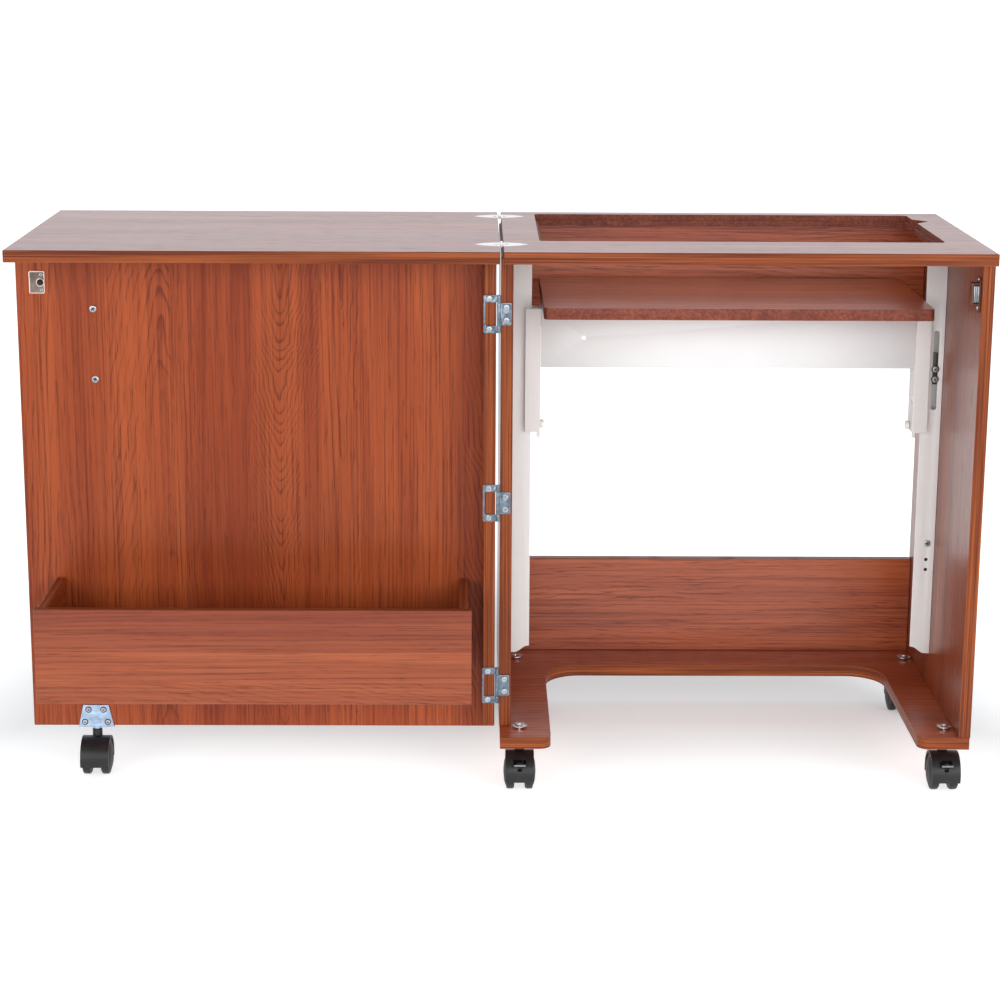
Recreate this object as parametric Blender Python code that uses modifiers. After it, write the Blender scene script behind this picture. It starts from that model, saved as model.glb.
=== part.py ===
"""Sewing cabinet on casters, standing open: machine lift, folding leaf and a door with a storage bin.

Metres, +Z up, front towards -Y. The floor is Z = 0, the door's hinge axis is X = 0, and Y = 0 lies
midway between the bin's front and the back edge of the top.
"""
import math

import bmesh
import bpy
from mathutils import Matrix, Vector

MM = 0.001

# Clearances
FIT = 0.3 * MM                  # between pieces that touch
PIN_PLAY = 0.3 * MM             # round a hinge pin, stem or axle
NEST_PLAY = 0.6 * MM            # round the small leaf of a nesting hinge
DOOR_CLEARANCE = 1.5 * MM       # closed door panel to the base and the right side panel
DOOR_HEAD_GAP = 3 * MM          # door to the underside of the tops
DOOR_SILL_GAP = 1.5 * MM        # hinge board to the base
PLATFORM_PLAY = 3 * MM          # platform to the lip of the cut-out
OVERLAP = 0.1 * MM              # how far joined shapes stop short of each other's faces

# Boards and carcass
BOARD = 16 * MM
EDGE_ROUND = 0.8 * MM
TOP_WIDTH = 640 * MM
TOP_DEPTH = 440 * MM
TOP_HEIGHT = 750 * MM
LEAF_GAP = 5 * MM
FRONT_OVERHANG = 18.5 * MM      # top in front of the base and the right side panel
BACK_OVERHANG = 1.5 * MM
LIP = 48 * MM                   # base in front of the left side panel
UPPER_RAIL_HEIGHT = 145 * MM
LOWER_PANEL_HEIGHT = 144 * MM

# Machine cut-out in the main top
CUTOUT_SIDE_RIM = 48.5 * MM
CUTOUT_FRONT_RIM = 113.5 * MM
CUTOUT_BACK_RIM = 24.5 * MM
CUTOUT_CORNER = 6 * MM
LIP_WIDTH = 4.5 * MM
LIP_DROP = 8 * MM
NOTCH_DEPTH = 19 * MM
NOTCH_HALF = 28 * MM
NOTCH_FROM_BACK = 70 * MM
NOTCH_TIP = 4 * MM

# Base
BASE_ABOVE_HOOD = 11.5 * MM     # base above the hoods of the casters
BASE_INSET = 1 * MM
BASE_ARM = 69.5 * MM
BASE_REAR_STRIP = 94.5 * MM
BASE_INNER_CORNER = 53 * MM
BASE_ARM_CORNER = 16 * MM

# Door
DOOR_GAP = 6.4 * MM             # hinge board to the left side panel, for the knuckles
DOOR_HINGE_AHEAD = 1.2 * MM     # hinge axis in front of the left side panel
HINGE_HEIGHT = 50.8 * MM
HINGE_LEAF_THICK = 1.7 * MM
HINGE_SMALL_WIDTH = 17.2 * MM
HINGE_SMALL_HEIGHT = 30 * MM
HINGE_BIG_WIDTH = 20.4 * MM
HINGE_KNUCKLE = 2.4 * MM
HINGE_PIN = 1.2 * MM
HINGE_FROM_TOP = 72 * MM        # upper hinge below the head of the door
HINGE_FROM_BOTTOM = 75.5 * MM   # lower hinge above the foot of the door

# Bin on the door
BIN_BOARD = 12 * MM
BIN_DEPTH = 160 * MM
BIN_RISE = 84.5 * MM            # bin above the foot of the door
BIN_HEIGHT = 130 * MM
BIN_SIDE_CLEARANCE = 18.7 * MM  # closed bin to the right side panel
BIN_FROM_HINGE = 34.5 * MM      # hinge axis to the near end of the bin front
BIN_END_INSET = 5 * MM

# Handle, strike and catch
HANDLE_PITCH = 96 * MM
HANDLE_DROP = 74.5 * MM         # upper foot of the handle below the head of the door
HANDLE_FROM_EDGE = 102 * MM
HANDLE_PROUD = 28 * MM
HANDLE_RADIUS = 4.5 * MM
STRIKE_WIDTH = 21 * MM
STRIKE_HEIGHT = 30 * MM
STRIKE_THICK = 1.5 * MM
STRIKE_FROM_EDGE = 18 * MM
CATCH_DROP = 42 * MM            # catch below the underside of the top
CATCH_SETBACK = 5 * MM          # catch behind the front edge of the right side panel
CATCH_BODY = (14 * MM, 20 * MM, 28.5 * MM)
CATCH_FLANGE_HEIGHT = 46 * MM
CATCH_FLANGE_THICK = 2.2 * MM
CATCH_GAP = 0.5 * MM
BUMPER_RADIUS = 4 * MM
BUMPER_IN_STRIKE = 15 * MM      # bumper from the outer side of the strike plate

# Flush hinges of the leaf
LEAF_AXIS_RISE = 0.4 * MM
OVAL_HALF_LENGTH = 36 * MM
OVAL_HALF_WIDTH = 19 * MM
OVAL_THICK = 1.8 * MM
OVAL_KNUCKLE = 2.1 * MM
OVAL_PIN = 1 * MM
OVAL_MIDDLE_HALF = 6 * MM
OVAL_OUTER_HALF = 15 * MM
OVAL_FROM_FRONT = {"front": 78.5 * MM, "rear": 386.5 * MM}

# Machine lift
PLATFORM_CORNER = 7 * MM
PLATFORM_EDGE = 2 * MM
PLATFORM_DROP = 91.6 * MM       # platform top below the work surface, at rest
STEEL = 2 * MM
RAIL_FRONT = 250 * MM           # from the front edge of the top
RAIL_WIDTH = 28.5 * MM
RAIL_BACK_WIDTH = 20 * MM       # flange behind the glides
RAIL_DEPTH = 33 * MM
RAIL_RISE = 49.5 * MM           # rail above the base
RAIL_HEAD_GAP = 4 * MM
RAIL_STEP = 10 * MM             # rise of the lower end towards the middle
RAIL_FOOT = 7 * MM              # full-length part of the lower end
CARRIAGE_AHEAD = 7 * MM         # carriage flange in front of the rail
CARRIAGE_FLANGE = 21.5 * MM
CARRIAGE_WEB = 36 * MM
CARRIAGE_INSET = 41.45 * MM     # carriage web from the back of the rail
CARRIAGE_DROP = 112 * MM        # carriage head below the work surface
CARRIAGE_HEIGHT = 176 * MM
CARRIAGE_FOOT = (5 * MM, 7 * MM)
CROSS_PANEL_HEIGHT = 83 * MM
CROSS_HOLE_RADIUS = 3 * MM
CROSS_HOLE = (60 * MM, 42 * MM)
GLIDE_HEIGHT = 27 * MM
GLIDE_UP_DROP = 1 * MM          # upper glide below the carriage head
GLIDE_LOW_RISE = 3 * MM         # lower glide above the carriage foot
BRACKET_REACH = 34 * MM
BRACKET_WIDTH = 26 * MM
BRACKET_LEG = 30 * MM
CARRIAGE_PIN_RADIUS = 6 * MM
CARRIAGE_PIN_LENGTH = 5.5 * MM
CARRIAGE_PIN_RISE = 8 * MM
SLOT_WIDTH = 8 * MM
SLOT_DROP = 142 * MM            # slot below the work surface
SLOT_LENGTH = 114 * MM
SLOT_FROM_PANEL = 11 * MM
STOP_GAP = 1 * MM               # lowered glide to the stop screw
LIFT_DOWN = 162 * MM            # travel from rest down to the stop screw
STOP_HEAD_RADIUS = 5.5 * MM
STOP_HEAD_THICK = 2.5 * MM
STOP_SHANK_RADIUS = 3 * MM
STOP_SHANK_LENGTH = 11 * MM
SPARE_HOLE_RADIUS = 2.6 * MM
SPARE_HOLE_PITCH = 15 * MM
SPARE_HOLE_BELOW = 24 * MM      # first spare hole below the stop screw

# Casters
WHEEL_RADIUS = 25 * MM
WHEEL_WIDTH = 16.2 * MM
AXLE_RADIUS = 3 * MM
HOOD_WALL = 3.5 * MM
HOOD_WEB = 12 * MM
HOOD_SKIRT_Z = 17 * MM
HOOD_NECK_RADIUS = 8 * MM
HOOD_NECK_RISE = 3 * MM
WHEEL_PLAY = 0.5 * MM
TRAIL = 10 * MM                 # wheel axle beside the swivel axis
STEM_RADIUS = 4 * MM
STEM_DEPTH = 18 * MM            # stem inside the hood
COLLAR_RADIUS = 8 * MM
TNUT_RADIUS = 9.5 * MM
TNUT_THICK = 1.5 * MM
TNUT_BARREL = 5 * MM
CASTER_SIDE = 28.5 * MM         # stem from the side of the body
CASTER_FRONT = 44.5 * MM        # stem behind the front of the base
CASTER_BACK = 55.5 * MM         # stem ahead of the back of the base
TAB_WIDTH = 16 * MM
TAB_THICK = 4 * MM
TAB_LENGTH = 6 * MM
TAB_NECK = 8 * MM
TAB_INSIDE = 12 * MM            # tab pivot inside the front of the hood
TAB_PIVOT_RISE = 19 * MM        # tab pivot above the axle
TAB_HOOD_GAP = 2.5 * MM         # paddle from the hood at the bottom of its stroke
TAB_PLAY = 3.2 * MM

# Bracket of the door's caster
STRAP = 1.6 * MM
STRAP_TOP_WIDTH = 35 * MM
STRAP_BOTTOM_WIDTH = 49.5 * MM
STRAP_HEIGHT = 32 * MM
STRAP_FLANGE = 17 * MM
STRAP_FROM_EDGE = 87 * MM
STRAP_STEM = 5.5 * MM           # stem behind the door's inner face

# Places worked out from the sizes above
HOOD_RADIUS = WHEEL_RADIUS + WHEEL_PLAY + HOOD_WALL
HOOD_TOP_Z = WHEEL_RADIUS + HOOD_RADIUS + HOOD_NECK_RISE
TAB_PIVOT = HOOD_RADIUS - TAB_INSIDE
TAB_PIVOT_Z = WHEEL_RADIUS + TAB_PIVOT_RISE
BASE_BOTTOM = HOOD_TOP_Z + BASE_ABOVE_HOOD
X_LEFT = DOOR_GAP / 2
BODY_WIDTH = TOP_WIDTH + LEAF_GAP / 2
X_RIGHT = X_LEFT + BODY_WIDTH
X_MIDDLE = (X_LEFT + X_RIGHT) / 2
X_TOP = X_RIGHT - TOP_WIDTH
X_LEAF_AXIS = X_TOP - LEAF_GAP / 2
X_CUTOUT = X_RIGHT - TOP_WIDTH / 2
X_DOOR_EDGE = -X_RIGHT

DOOR_STANDOFF = LIP + DOOR_CLEARANCE - 2 * DOOR_HINGE_AHEAD
BIN_AHEAD = BIN_DEPTH - FRONT_OVERHANG - LIP - DOOR_STANDOFF
Y_TOP_FRONT = (BIN_AHEAD - TOP_DEPTH) / 2
Y_TOP_BACK = Y_TOP_FRONT + TOP_DEPTH
Y_BASE_FRONT = Y_TOP_FRONT + FRONT_OVERHANG
Y_LEFT_FRONT = Y_BASE_FRONT + LIP
Y_BODY_BACK = Y_TOP_BACK - BACK_OVERHANG
Y_DOOR_FACE = Y_LEFT_FRONT + DOOR_STANDOFF
Y_DOOR_AXIS = Y_LEFT_FRONT - DOOR_HINGE_AHEAD
Y_BIN_FRONT = Y_DOOR_FACE - BIN_DEPTH
Y_CUTOUT_FRONT = Y_TOP_FRONT + CUTOUT_FRONT_RIM
Y_CUTOUT_BACK = Y_TOP_BACK - CUTOUT_BACK_RIM
Y_RAIL = Y_TOP_FRONT + RAIL_FRONT
Y_CARRIAGE = Y_RAIL - CARRIAGE_AHEAD

Z_UNDER_TOP = TOP_HEIGHT - BOARD
Z_BASE_TOP = BASE_BOTTOM + BOARD
Z_DOOR_TOP = Z_UNDER_TOP - DOOR_HEAD_GAP
Z_DOOR_BOTTOM = BASE_BOTTOM
Z_LEAF_AXIS = TOP_HEIGHT + LEAF_AXIS_RISE
Z_PLATFORM = TOP_HEIGHT - PLATFORM_DROP
Z_CARRIAGE_TOP = TOP_HEIGHT - CARRIAGE_DROP
Z_CARRIAGE_BOTTOM = Z_CARRIAGE_TOP - CARRIAGE_HEIGHT
Z_STOP = Z_CARRIAGE_BOTTOM + GLIDE_LOW_RISE - LIFT_DOWN - STOP_GAP - STOP_SHANK_RADIUS
Z_RAIL = Z_BASE_TOP + RAIL_RISE
Z_CATCH = Z_UNDER_TOP - CATCH_DROP
WALL = BODY_WIDTH / 2 - BOARD - FIT         # back of a lift rail from the middle of the body
WEB = WALL - CARRIAGE_INSET                 # carriage web from the middle of the body
HALF_CUTOUT = TOP_WIDTH / 2 - CUTOUT_SIDE_RIM
BIN_WIDTH = X_RIGHT - BOARD - BIN_SIDE_CLEARANCE - BIN_FROM_HINGE
HINGE_HIGH = Z_DOOR_TOP - HINGE_FROM_TOP
HINGE_LOW = Z_DOOR_BOTTOM + HINGE_FROM_BOTTOM
HINGE_CENTRES = {"upper": HINGE_HIGH, "middle": (HINGE_HIGH + HINGE_LOW) / 2, "lower": HINGE_LOW}

parts = None
cutters = None


# Scene and materials


def start_scene():
    """Empties the scene and makes the two collections."""
    global parts, cutters
    for old in list(bpy.data.objects):
        bpy.data.objects.remove(old, do_unlink=True)
    parts = bpy.data.collections.new("sewing_cabinet")
    cutters = bpy.data.collections.new("cutters")
    for collection in (parts, cutters):
        bpy.context.scene.collection.children.link(collection)


def finish(name, colour, roughness, metallic=0.0):
    """A plain Principled material."""
    material = bpy.data.materials.new(name)
    material.use_nodes = True
    shader = material.node_tree.nodes["Principled BSDF"]
    shader.inputs["Base Color"].default_value = (*colour, 1.0)
    shader.inputs["Roughness"].default_value = roughness
    shader.inputs["Metallic"].default_value = metallic
    return material


def axis_empty(name, location, parent=None, turn=0.0):
    """An empty on a joint's axis, which carries the pieces that move about it."""
    empty = bpy.data.objects.new(name, None)
    empty.location = location
    empty.rotation_euler = (0.0, 0.0, turn)
    empty.parent = parent
    parts.objects.link(empty)
    return empty


# Meshes and modifiers


def new_part(name, mesh, material, carrier=None):
    """Links a mesh drawn in world coordinates as one sub-part, parented to its carrier without moving it."""
    mesh.name = name
    mesh.materials.clear()
    mesh.materials.append(material)
    part = bpy.data.objects.new(name, mesh)
    parts.objects.link(part)
    if carrier:
        part.parent = carrier
        part.matrix_parent_inverse = Matrix.Translation(carrier.location).inverted()
    return part


def new_cutter(name, mesh):
    """Links a hidden mesh that a Boolean uses."""
    cutter = bpy.data.objects.new(name, mesh)
    cutter.hide_render = True
    cutter.display_type = "WIRE"
    cutters.objects.link(cutter)
    return cutter


def boolean(part, tool_mesh, operation="DIFFERENCE"):
    """Cuts a mesh from a part, or joins one to it."""
    modifier = part.modifiers.new(operation.lower(), "BOOLEAN")
    modifier.operation = operation
    modifier.solver = "EXACT"
    modifier.object = new_cutter(part.name + "_" + operation.lower(), tool_mesh)
    return part


def evaluated_mesh(part):
    """The part's mesh with its modifiers applied, welded and pointing out."""
    graph = bpy.context.evaluated_depsgraph_get()
    mesh = bpy.data.meshes.new_from_object(part.evaluated_get(graph))
    shape = bmesh.new()
    shape.from_mesh(mesh)
    bmesh.ops.remove_doubles(shape, verts=shape.verts, dist=1e-6)
    bmesh.ops.recalc_face_normals(shape, faces=shape.faces)
    shape.to_mesh(mesh)
    shape.free()
    return mesh


def settle(part):
    """Replaces a part's modifiers by the mesh that they give."""
    bpy.context.view_layer.update()
    mesh = evaluated_mesh(part)
    part.modifiers.clear()
    part.data = mesh
    return mesh


def box_mesh(low, high):
    """A box between two corners."""
    low, high = Vector(low), Vector(high)
    shape = bmesh.new()
    bmesh.ops.create_cube(shape, size=1.0)
    size = high - low
    bmesh.ops.scale(shape, vec=size, verts=shape.verts)
    bmesh.ops.translate(shape, vec=(low + high) / 2, verts=shape.verts)
    mesh = bpy.data.meshes.new("box")
    shape.to_mesh(mesh)
    shape.free()
    return mesh


def rod_mesh(places, axis, radius, sides=24):
    """One or more round rods: places are (start, end) pairs along one world axis."""
    turn = {"X": Matrix.Rotation(math.pi / 2, 3, "Y"), "Y": Matrix.Rotation(-math.pi / 2, 3, "X"),
            "Z": Matrix.Identity(3)}[axis]
    shape = bmesh.new()
    for start, end in places:
        start, end = Vector(start), Vector(end)
        made = bmesh.ops.create_cone(shape, cap_ends=True, segments=sides, radius1=radius, radius2=radius,
                                     depth=(end - start).length)
        bmesh.ops.rotate(shape, cent=(0, 0, 0), matrix=turn, verts=made["verts"])
        bmesh.ops.translate(shape, vec=(start + end) / 2, verts=made["verts"])
    mesh = bpy.data.meshes.new("rod")
    shape.to_mesh(mesh)
    shape.free()
    return mesh


def outline_mesh(points, thickness, centre, plane="XY"):
    """A flat outline given in the plane's own two coordinates, thickened about its centre plane."""
    curve = bpy.data.curves.new("outline", "CURVE")
    curve.dimensions = "2D"
    curve.fill_mode = "BOTH"
    curve.extrude = thickness / 2
    spline = curve.splines.new("POLY")
    spline.points.add(len(points) - 1)
    for point, (u, v) in zip(spline.points, points):
        point.co = (u, v, 0.0, 1.0)
    spline.use_cyclic_u = True
    drawn = bpy.data.objects.new("outline", curve)
    cutters.objects.link(drawn)
    bpy.context.view_layer.update()
    mesh = evaluated_mesh(drawn)
    bpy.data.objects.remove(drawn, do_unlink=True)
    if plane == "XZ":
        mesh.transform(Matrix.Rotation(math.pi / 2, 4, "X"))
    mesh.transform(Matrix.Translation(centre))
    return mesh


def arc(centre, radius, start, end, steps=6):
    """Points on an arc, angles in degrees."""
    points = []
    for step in range(steps + 1):
        angle = math.radians(start + (end - start) * step / steps)
        points.append((centre[0] + radius * math.cos(angle), centre[1] + radius * math.sin(angle)))
    return points


def rounded_rectangle(x0, x1, y0, y1, radius, steps=4):
    """A rectangle with round corners, anticlockwise."""
    return (arc((x1 - radius, y0 + radius), radius, -90, 0, steps)
            + arc((x1 - radius, y1 - radius), radius, 0, 90, steps)
            + arc((x0 + radius, y1 - radius), radius, 90, 180, steps)
            + arc((x0 + radius, y0 + radius), radius, 180, 270, steps))


def turned_mesh(profile, steps=24):
    """A solid turned about Z from (radius, height) points that run down its outer side."""
    mesh = bpy.data.meshes.new("profile")
    edges = [(i, i + 1) for i in range(len(profile) - 1)]
    mesh.from_pydata([(radius, 0.0, height) for radius, height in profile], edges, [])
    drawn = bpy.data.objects.new("profile", mesh)
    cutters.objects.link(drawn)
    screw = drawn.modifiers.new("turn", "SCREW")
    screw.steps = steps
    screw.render_steps = steps
    screw.use_merge_vertices = True
    screw.merge_threshold = 1e-6
    bpy.context.view_layer.update()
    turned = evaluated_mesh(drawn)
    bpy.data.objects.remove(drawn, do_unlink=True)
    return turned


def shade_round(part):
    """Smooth shading on round pieces, with their corners kept sharp."""
    part.data.shade_smooth()
    part.data.set_sharp_from_angle(angle=math.radians(35))


def board(name, low, high, material, carrier=None):
    """A board with lightly rounded edges."""
    part = new_part(name, box_mesh(low, high), material, carrier)
    soften(part, EDGE_ROUND)
    return part


def soften(part, width):
    """Bevels a part's edges."""
    bevel = part.modifiers.new("edges", "BEVEL")
    bevel.width = width
    bevel.segments = 1
    bevel.limit_method = "ANGLE"
    bevel.angle_limit = math.radians(50)


# Carcass


def oval_outline(grow=0.0):
    """The pointed oval of a flush hinge, both halves, about its own centre."""
    length = OVAL_HALF_LENGTH + grow
    width = OVAL_HALF_WIDTH + grow
    radius = (length ** 2 + width ** 2) / (2 * width)
    sweep = math.degrees(math.asin(length / radius))
    upper = arc((0, width - radius), radius, 90 - sweep, 90 + sweep, 10)
    lower = arc((0, radius - width), radius, 270 - sweep, 270 + sweep, 10)
    return upper[:-1] + lower[:-1]


def cut_oval_seats(part):
    """Recesses for the flush hinges, across the gap between the two tops."""
    for from_front in OVAL_FROM_FRONT.values():
        depth = OVAL_THICK + FIT
        centre = (X_LEAF_AXIS, Y_TOP_FRONT + from_front, TOP_HEIGHT)
        boolean(part, outline_mesh(oval_outline(FIT), 2 * depth, centre))


def make_tops(laminate, leaf_axis):
    """The main top with its machine cut-out, and the folding leaf."""
    top = board("main_top", (X_TOP, Y_TOP_FRONT, Z_UNDER_TOP), (X_RIGHT, Y_TOP_BACK, TOP_HEIGHT), laminate)
    half = HALF_CUTOUT
    wide = rounded_rectangle(X_CUTOUT - half, X_CUTOUT + half, Y_CUTOUT_FRONT, Y_CUTOUT_BACK, CUTOUT_CORNER)
    boolean(top, outline_mesh(wide, 2 * LIP_DROP, (0, 0, TOP_HEIGHT)))
    narrow = rounded_rectangle(X_CUTOUT - half + LIP_WIDTH, X_CUTOUT + half - LIP_WIDTH,
                               Y_CUTOUT_FRONT + LIP_WIDTH, Y_CUTOUT_BACK - LIP_WIDTH, CUTOUT_CORNER)
    boolean(top, outline_mesh(narrow, 4 * BOARD, (0, 0, TOP_HEIGHT)))
    edge = X_CUTOUT + half - LIP_WIDTH - FIT
    tip = X_CUTOUT + half + NOTCH_DEPTH
    y_notch = Y_CUTOUT_BACK - NOTCH_FROM_BACK
    notch = [(edge, y_notch - NOTCH_HALF)] + arc((tip - NOTCH_TIP, y_notch), NOTCH_TIP, -50, 50, 4)
    notch.append((edge, y_notch + NOTCH_HALF))
    boolean(top, outline_mesh(notch, 4 * BOARD, (0, 0, TOP_HEIGHT)))
    cut_oval_seats(top)
    leaf_right = X_LEAF_AXIS - LEAF_GAP / 2
    leaf = board("folding_leaf", (leaf_right - TOP_WIDTH, Y_TOP_FRONT, Z_UNDER_TOP),
                 (leaf_right, Y_TOP_BACK, TOP_HEIGHT), laminate, leaf_axis)
    cut_oval_seats(leaf)


def make_carcass(laminate):
    """Side panels, back rail and back panel."""
    z0 = Z_BASE_TOP + FIT
    z1 = Z_UNDER_TOP - FIT
    board("left_side_panel", (X_LEFT, Y_LEFT_FRONT, z0), (X_LEFT + BOARD, Y_BODY_BACK, z1), laminate)
    board("right_side_panel", (X_RIGHT - BOARD, Y_BASE_FRONT, z0), (X_RIGHT, Y_BODY_BACK, z1), laminate)
    x0 = X_LEFT + BOARD + FIT
    x1 = X_RIGHT - BOARD - FIT
    y0 = Y_BODY_BACK - BOARD
    board("upper_back_rail", (x0, y0, z1 - UPPER_RAIL_HEIGHT), (x1, Y_BODY_BACK, z1), laminate)
    board("lower_back_panel", (x0, y0, z0), (x1, Y_BODY_BACK, z0 + LOWER_PANEL_HEIGHT), laminate)


def caster_places():
    """Stem axes of the four casters under the base."""
    left = X_LEFT + CASTER_SIDE
    right = X_RIGHT - CASTER_SIDE
    front = Y_BASE_FRONT + CASTER_FRONT
    back = Y_BODY_BACK - CASTER_BACK
    return {"front_left": (left, front), "front_right": (right, front),
            "rear_left": (left, back), "rear_right": (right, back)}


def make_base(laminate):
    """The U-shaped base: a rear strip and two arms that leave room for the feet."""
    x0 = X_LEFT + BASE_INSET
    x1 = X_RIGHT - BASE_INSET
    left = x0 + BASE_ARM
    right = x1 - BASE_ARM
    strip = Y_BODY_BACK - BASE_REAR_STRIP
    inner = BASE_INNER_CORNER
    tip = BASE_ARM_CORNER
    outline = [(x0, Y_BASE_FRONT)]
    outline += arc((left - tip, Y_BASE_FRONT + tip), tip, -90, 0)
    outline += arc((left + inner, strip - inner), inner, 180, 90, 8)
    outline += arc((right - inner, strip - inner), inner, 90, 0, 8)
    outline += arc((right + tip, Y_BASE_FRONT + tip), tip, 180, 270)
    outline += [(x1, Y_BASE_FRONT), (x1, Y_BODY_BACK), (x0, Y_BODY_BACK)]
    middle = (0, 0, BASE_BOTTOM + BOARD / 2)
    base = new_part("base_panel", outline_mesh(outline, BOARD, middle), laminate)
    holes = [((x, y, BASE_BOTTOM - BOARD), (x, y, Z_BASE_TOP + BOARD)) for x, y in caster_places().values()]
    boolean(base, rod_mesh(holes, "Z", TNUT_BARREL + FIT))


# Hinges


def make_door_hinge(name, z, steel, door_axis):
    """A nesting hinge: the small cabinet leaf fits in the window of the door leaf when the door is closed."""
    y = Y_DOOR_AXIS
    y1 = Y_LEFT_FRONT - FIT
    y0 = y1 - HINGE_LEAF_THICK
    half = HINGE_SMALL_HEIGHT / 2
    tall = HINGE_HEIGHT / 2
    small = new_part(name + "_hinge_cabinet_leaf",
                     box_mesh((0, y0, z - half), (HINGE_SMALL_WIDTH, y1, z + half)), steel)
    boolean(small, rod_mesh([((0, y, z - half), (0, y, z + half))], "Z", HINGE_KNUCKLE), "UNION")
    bore = HINGE_PIN + PIN_PLAY
    boolean(small, rod_mesh([((0, y, z - HINGE_HEIGHT), (0, y, z + HINGE_HEIGHT))], "Z", bore, 16))
    big = new_part(name + "_hinge_door_leaf",
                   box_mesh((-HINGE_BIG_WIDTH, y0, z - tall), (0, y1, z + tall)), steel, door_axis)
    boolean(big, rod_mesh([((0, y, z - tall), (0, y, z + tall))], "Z", HINGE_KNUCKLE), "UNION")
    window = half + NEST_PLAY
    boolean(big, box_mesh((-HINGE_SMALL_WIDTH - NEST_PLAY, y - HINGE_KNUCKLE - MM, z - window),
                          (HINGE_KNUCKLE + MM, y + HINGE_KNUCKLE + MM, z + window)))
    pin = tall - OVERLAP
    boolean(big, rod_mesh([((0, y, z - pin), (0, y, z + pin))], "Z", HINGE_PIN, 16), "UNION")
    for leaf in (small, big):
        settle(leaf)
        shade_round(leaf)


def make_leaf_hinge(name, from_front, steel, leaf_axis):
    """A flush pointed-oval hinge: a plate in each top, with the knuckles in the gap between them."""
    y = Y_TOP_FRONT + from_front
    centre = (X_LEAF_AXIS, y, TOP_HEIGHT - OVAL_THICK / 2)
    clear = OVAL_KNUCKLE + FIT
    reach = 2 * OVAL_HALF_LENGTH
    play = FIT
    spans = {"fixed": [(-OVAL_MIDDLE_HALF, OVAL_MIDDLE_HALF)],
             "moving": [(-OVAL_OUTER_HALF, -OVAL_MIDDLE_HALF - play), (OVAL_MIDDLE_HALF + play, OVAL_OUTER_HALF)]}
    for kind, side in (("fixed", 1), ("moving", -1)):
        carrier = leaf_axis if kind == "moving" else None
        shape = outline_mesh(oval_outline(), OVAL_THICK, centre)
        plate = new_part(f"{name}_leaf_hinge_{kind}_plate", shape, steel, carrier)
        near = X_LEAF_AXIS - side * reach
        far = X_LEAF_AXIS + side * clear
        low = (min(near, far), y - reach, TOP_HEIGHT - reach)
        boolean(plate, box_mesh(low, (max(near, far), y + reach, TOP_HEIGHT + reach)))
        for start, end in spans[kind]:
            inner = X_LEAF_AXIS
            outer = X_LEAF_AXIS + side * (clear + OVAL_THICK)
            boolean(plate, box_mesh((min(inner, outer), y + start + OVERLAP, TOP_HEIGHT - OVAL_THICK + OVERLAP),
                                    (max(inner, outer), y + end - OVERLAP, TOP_HEIGHT - OVERLAP)), "UNION")
        rods = [((X_LEAF_AXIS, y + start, Z_LEAF_AXIS), (X_LEAF_AXIS, y + end, Z_LEAF_AXIS))
                for start, end in spans[kind]]
        boolean(plate, rod_mesh(rods, "Y", OVAL_KNUCKLE, 16), "UNION")
        half = OVAL_OUTER_HALF - OVERLAP
        pin = [((X_LEAF_AXIS, y - half, Z_LEAF_AXIS), (X_LEAF_AXIS, y + half, Z_LEAF_AXIS))]
        if kind == "fixed":
            boolean(plate, rod_mesh(pin, "Y", OVAL_PIN + PIN_PLAY, 12))
        else:
            boolean(plate, rod_mesh(pin, "Y", OVAL_PIN, 12), "UNION")
        settle(plate)
        shade_round(plate)


# Door


def make_door(laminate, door_axis):
    """The door panel, the hinge board that stands square to it, and the bin."""
    y = Y_DOOR_FACE
    board("door_panel", (X_DOOR_EDGE, y, Z_DOOR_BOTTOM), (-X_LEFT, y + BOARD, Z_DOOR_TOP), laminate, door_axis)
    board("door_hinge_board", (-X_LEFT - BOARD, Y_LEFT_FRONT, Z_BASE_TOP + DOOR_SILL_GAP),
          (-X_LEFT, y - FIT, Z_DOOR_TOP), laminate, door_axis)
    x1 = -BIN_FROM_HINGE
    x0 = x1 - BIN_WIDTH
    z0 = Z_DOOR_BOTTOM + BIN_RISE
    z1 = z0 + BIN_HEIGHT
    front = Y_BIN_FRONT
    back = y - FIT
    behind = front + BIN_BOARD + FIT
    board("bin_front", (x0, front, z0), (x1, front + BIN_BOARD, z1), laminate, door_axis)
    left = x0 + BIN_END_INSET
    right = x1 - BIN_END_INSET
    board("bin_left_end", (left, behind, z0), (left + BIN_BOARD, back, z1), laminate, door_axis)
    board("bin_right_end", (right - BIN_BOARD, behind, z0), (right, back, z1), laminate, door_axis)
    board("bin_bottom", (left + BIN_BOARD + FIT, behind, z0), (right - BIN_BOARD - FIT, back, z0 + BIN_BOARD),
          laminate, door_axis)


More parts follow.
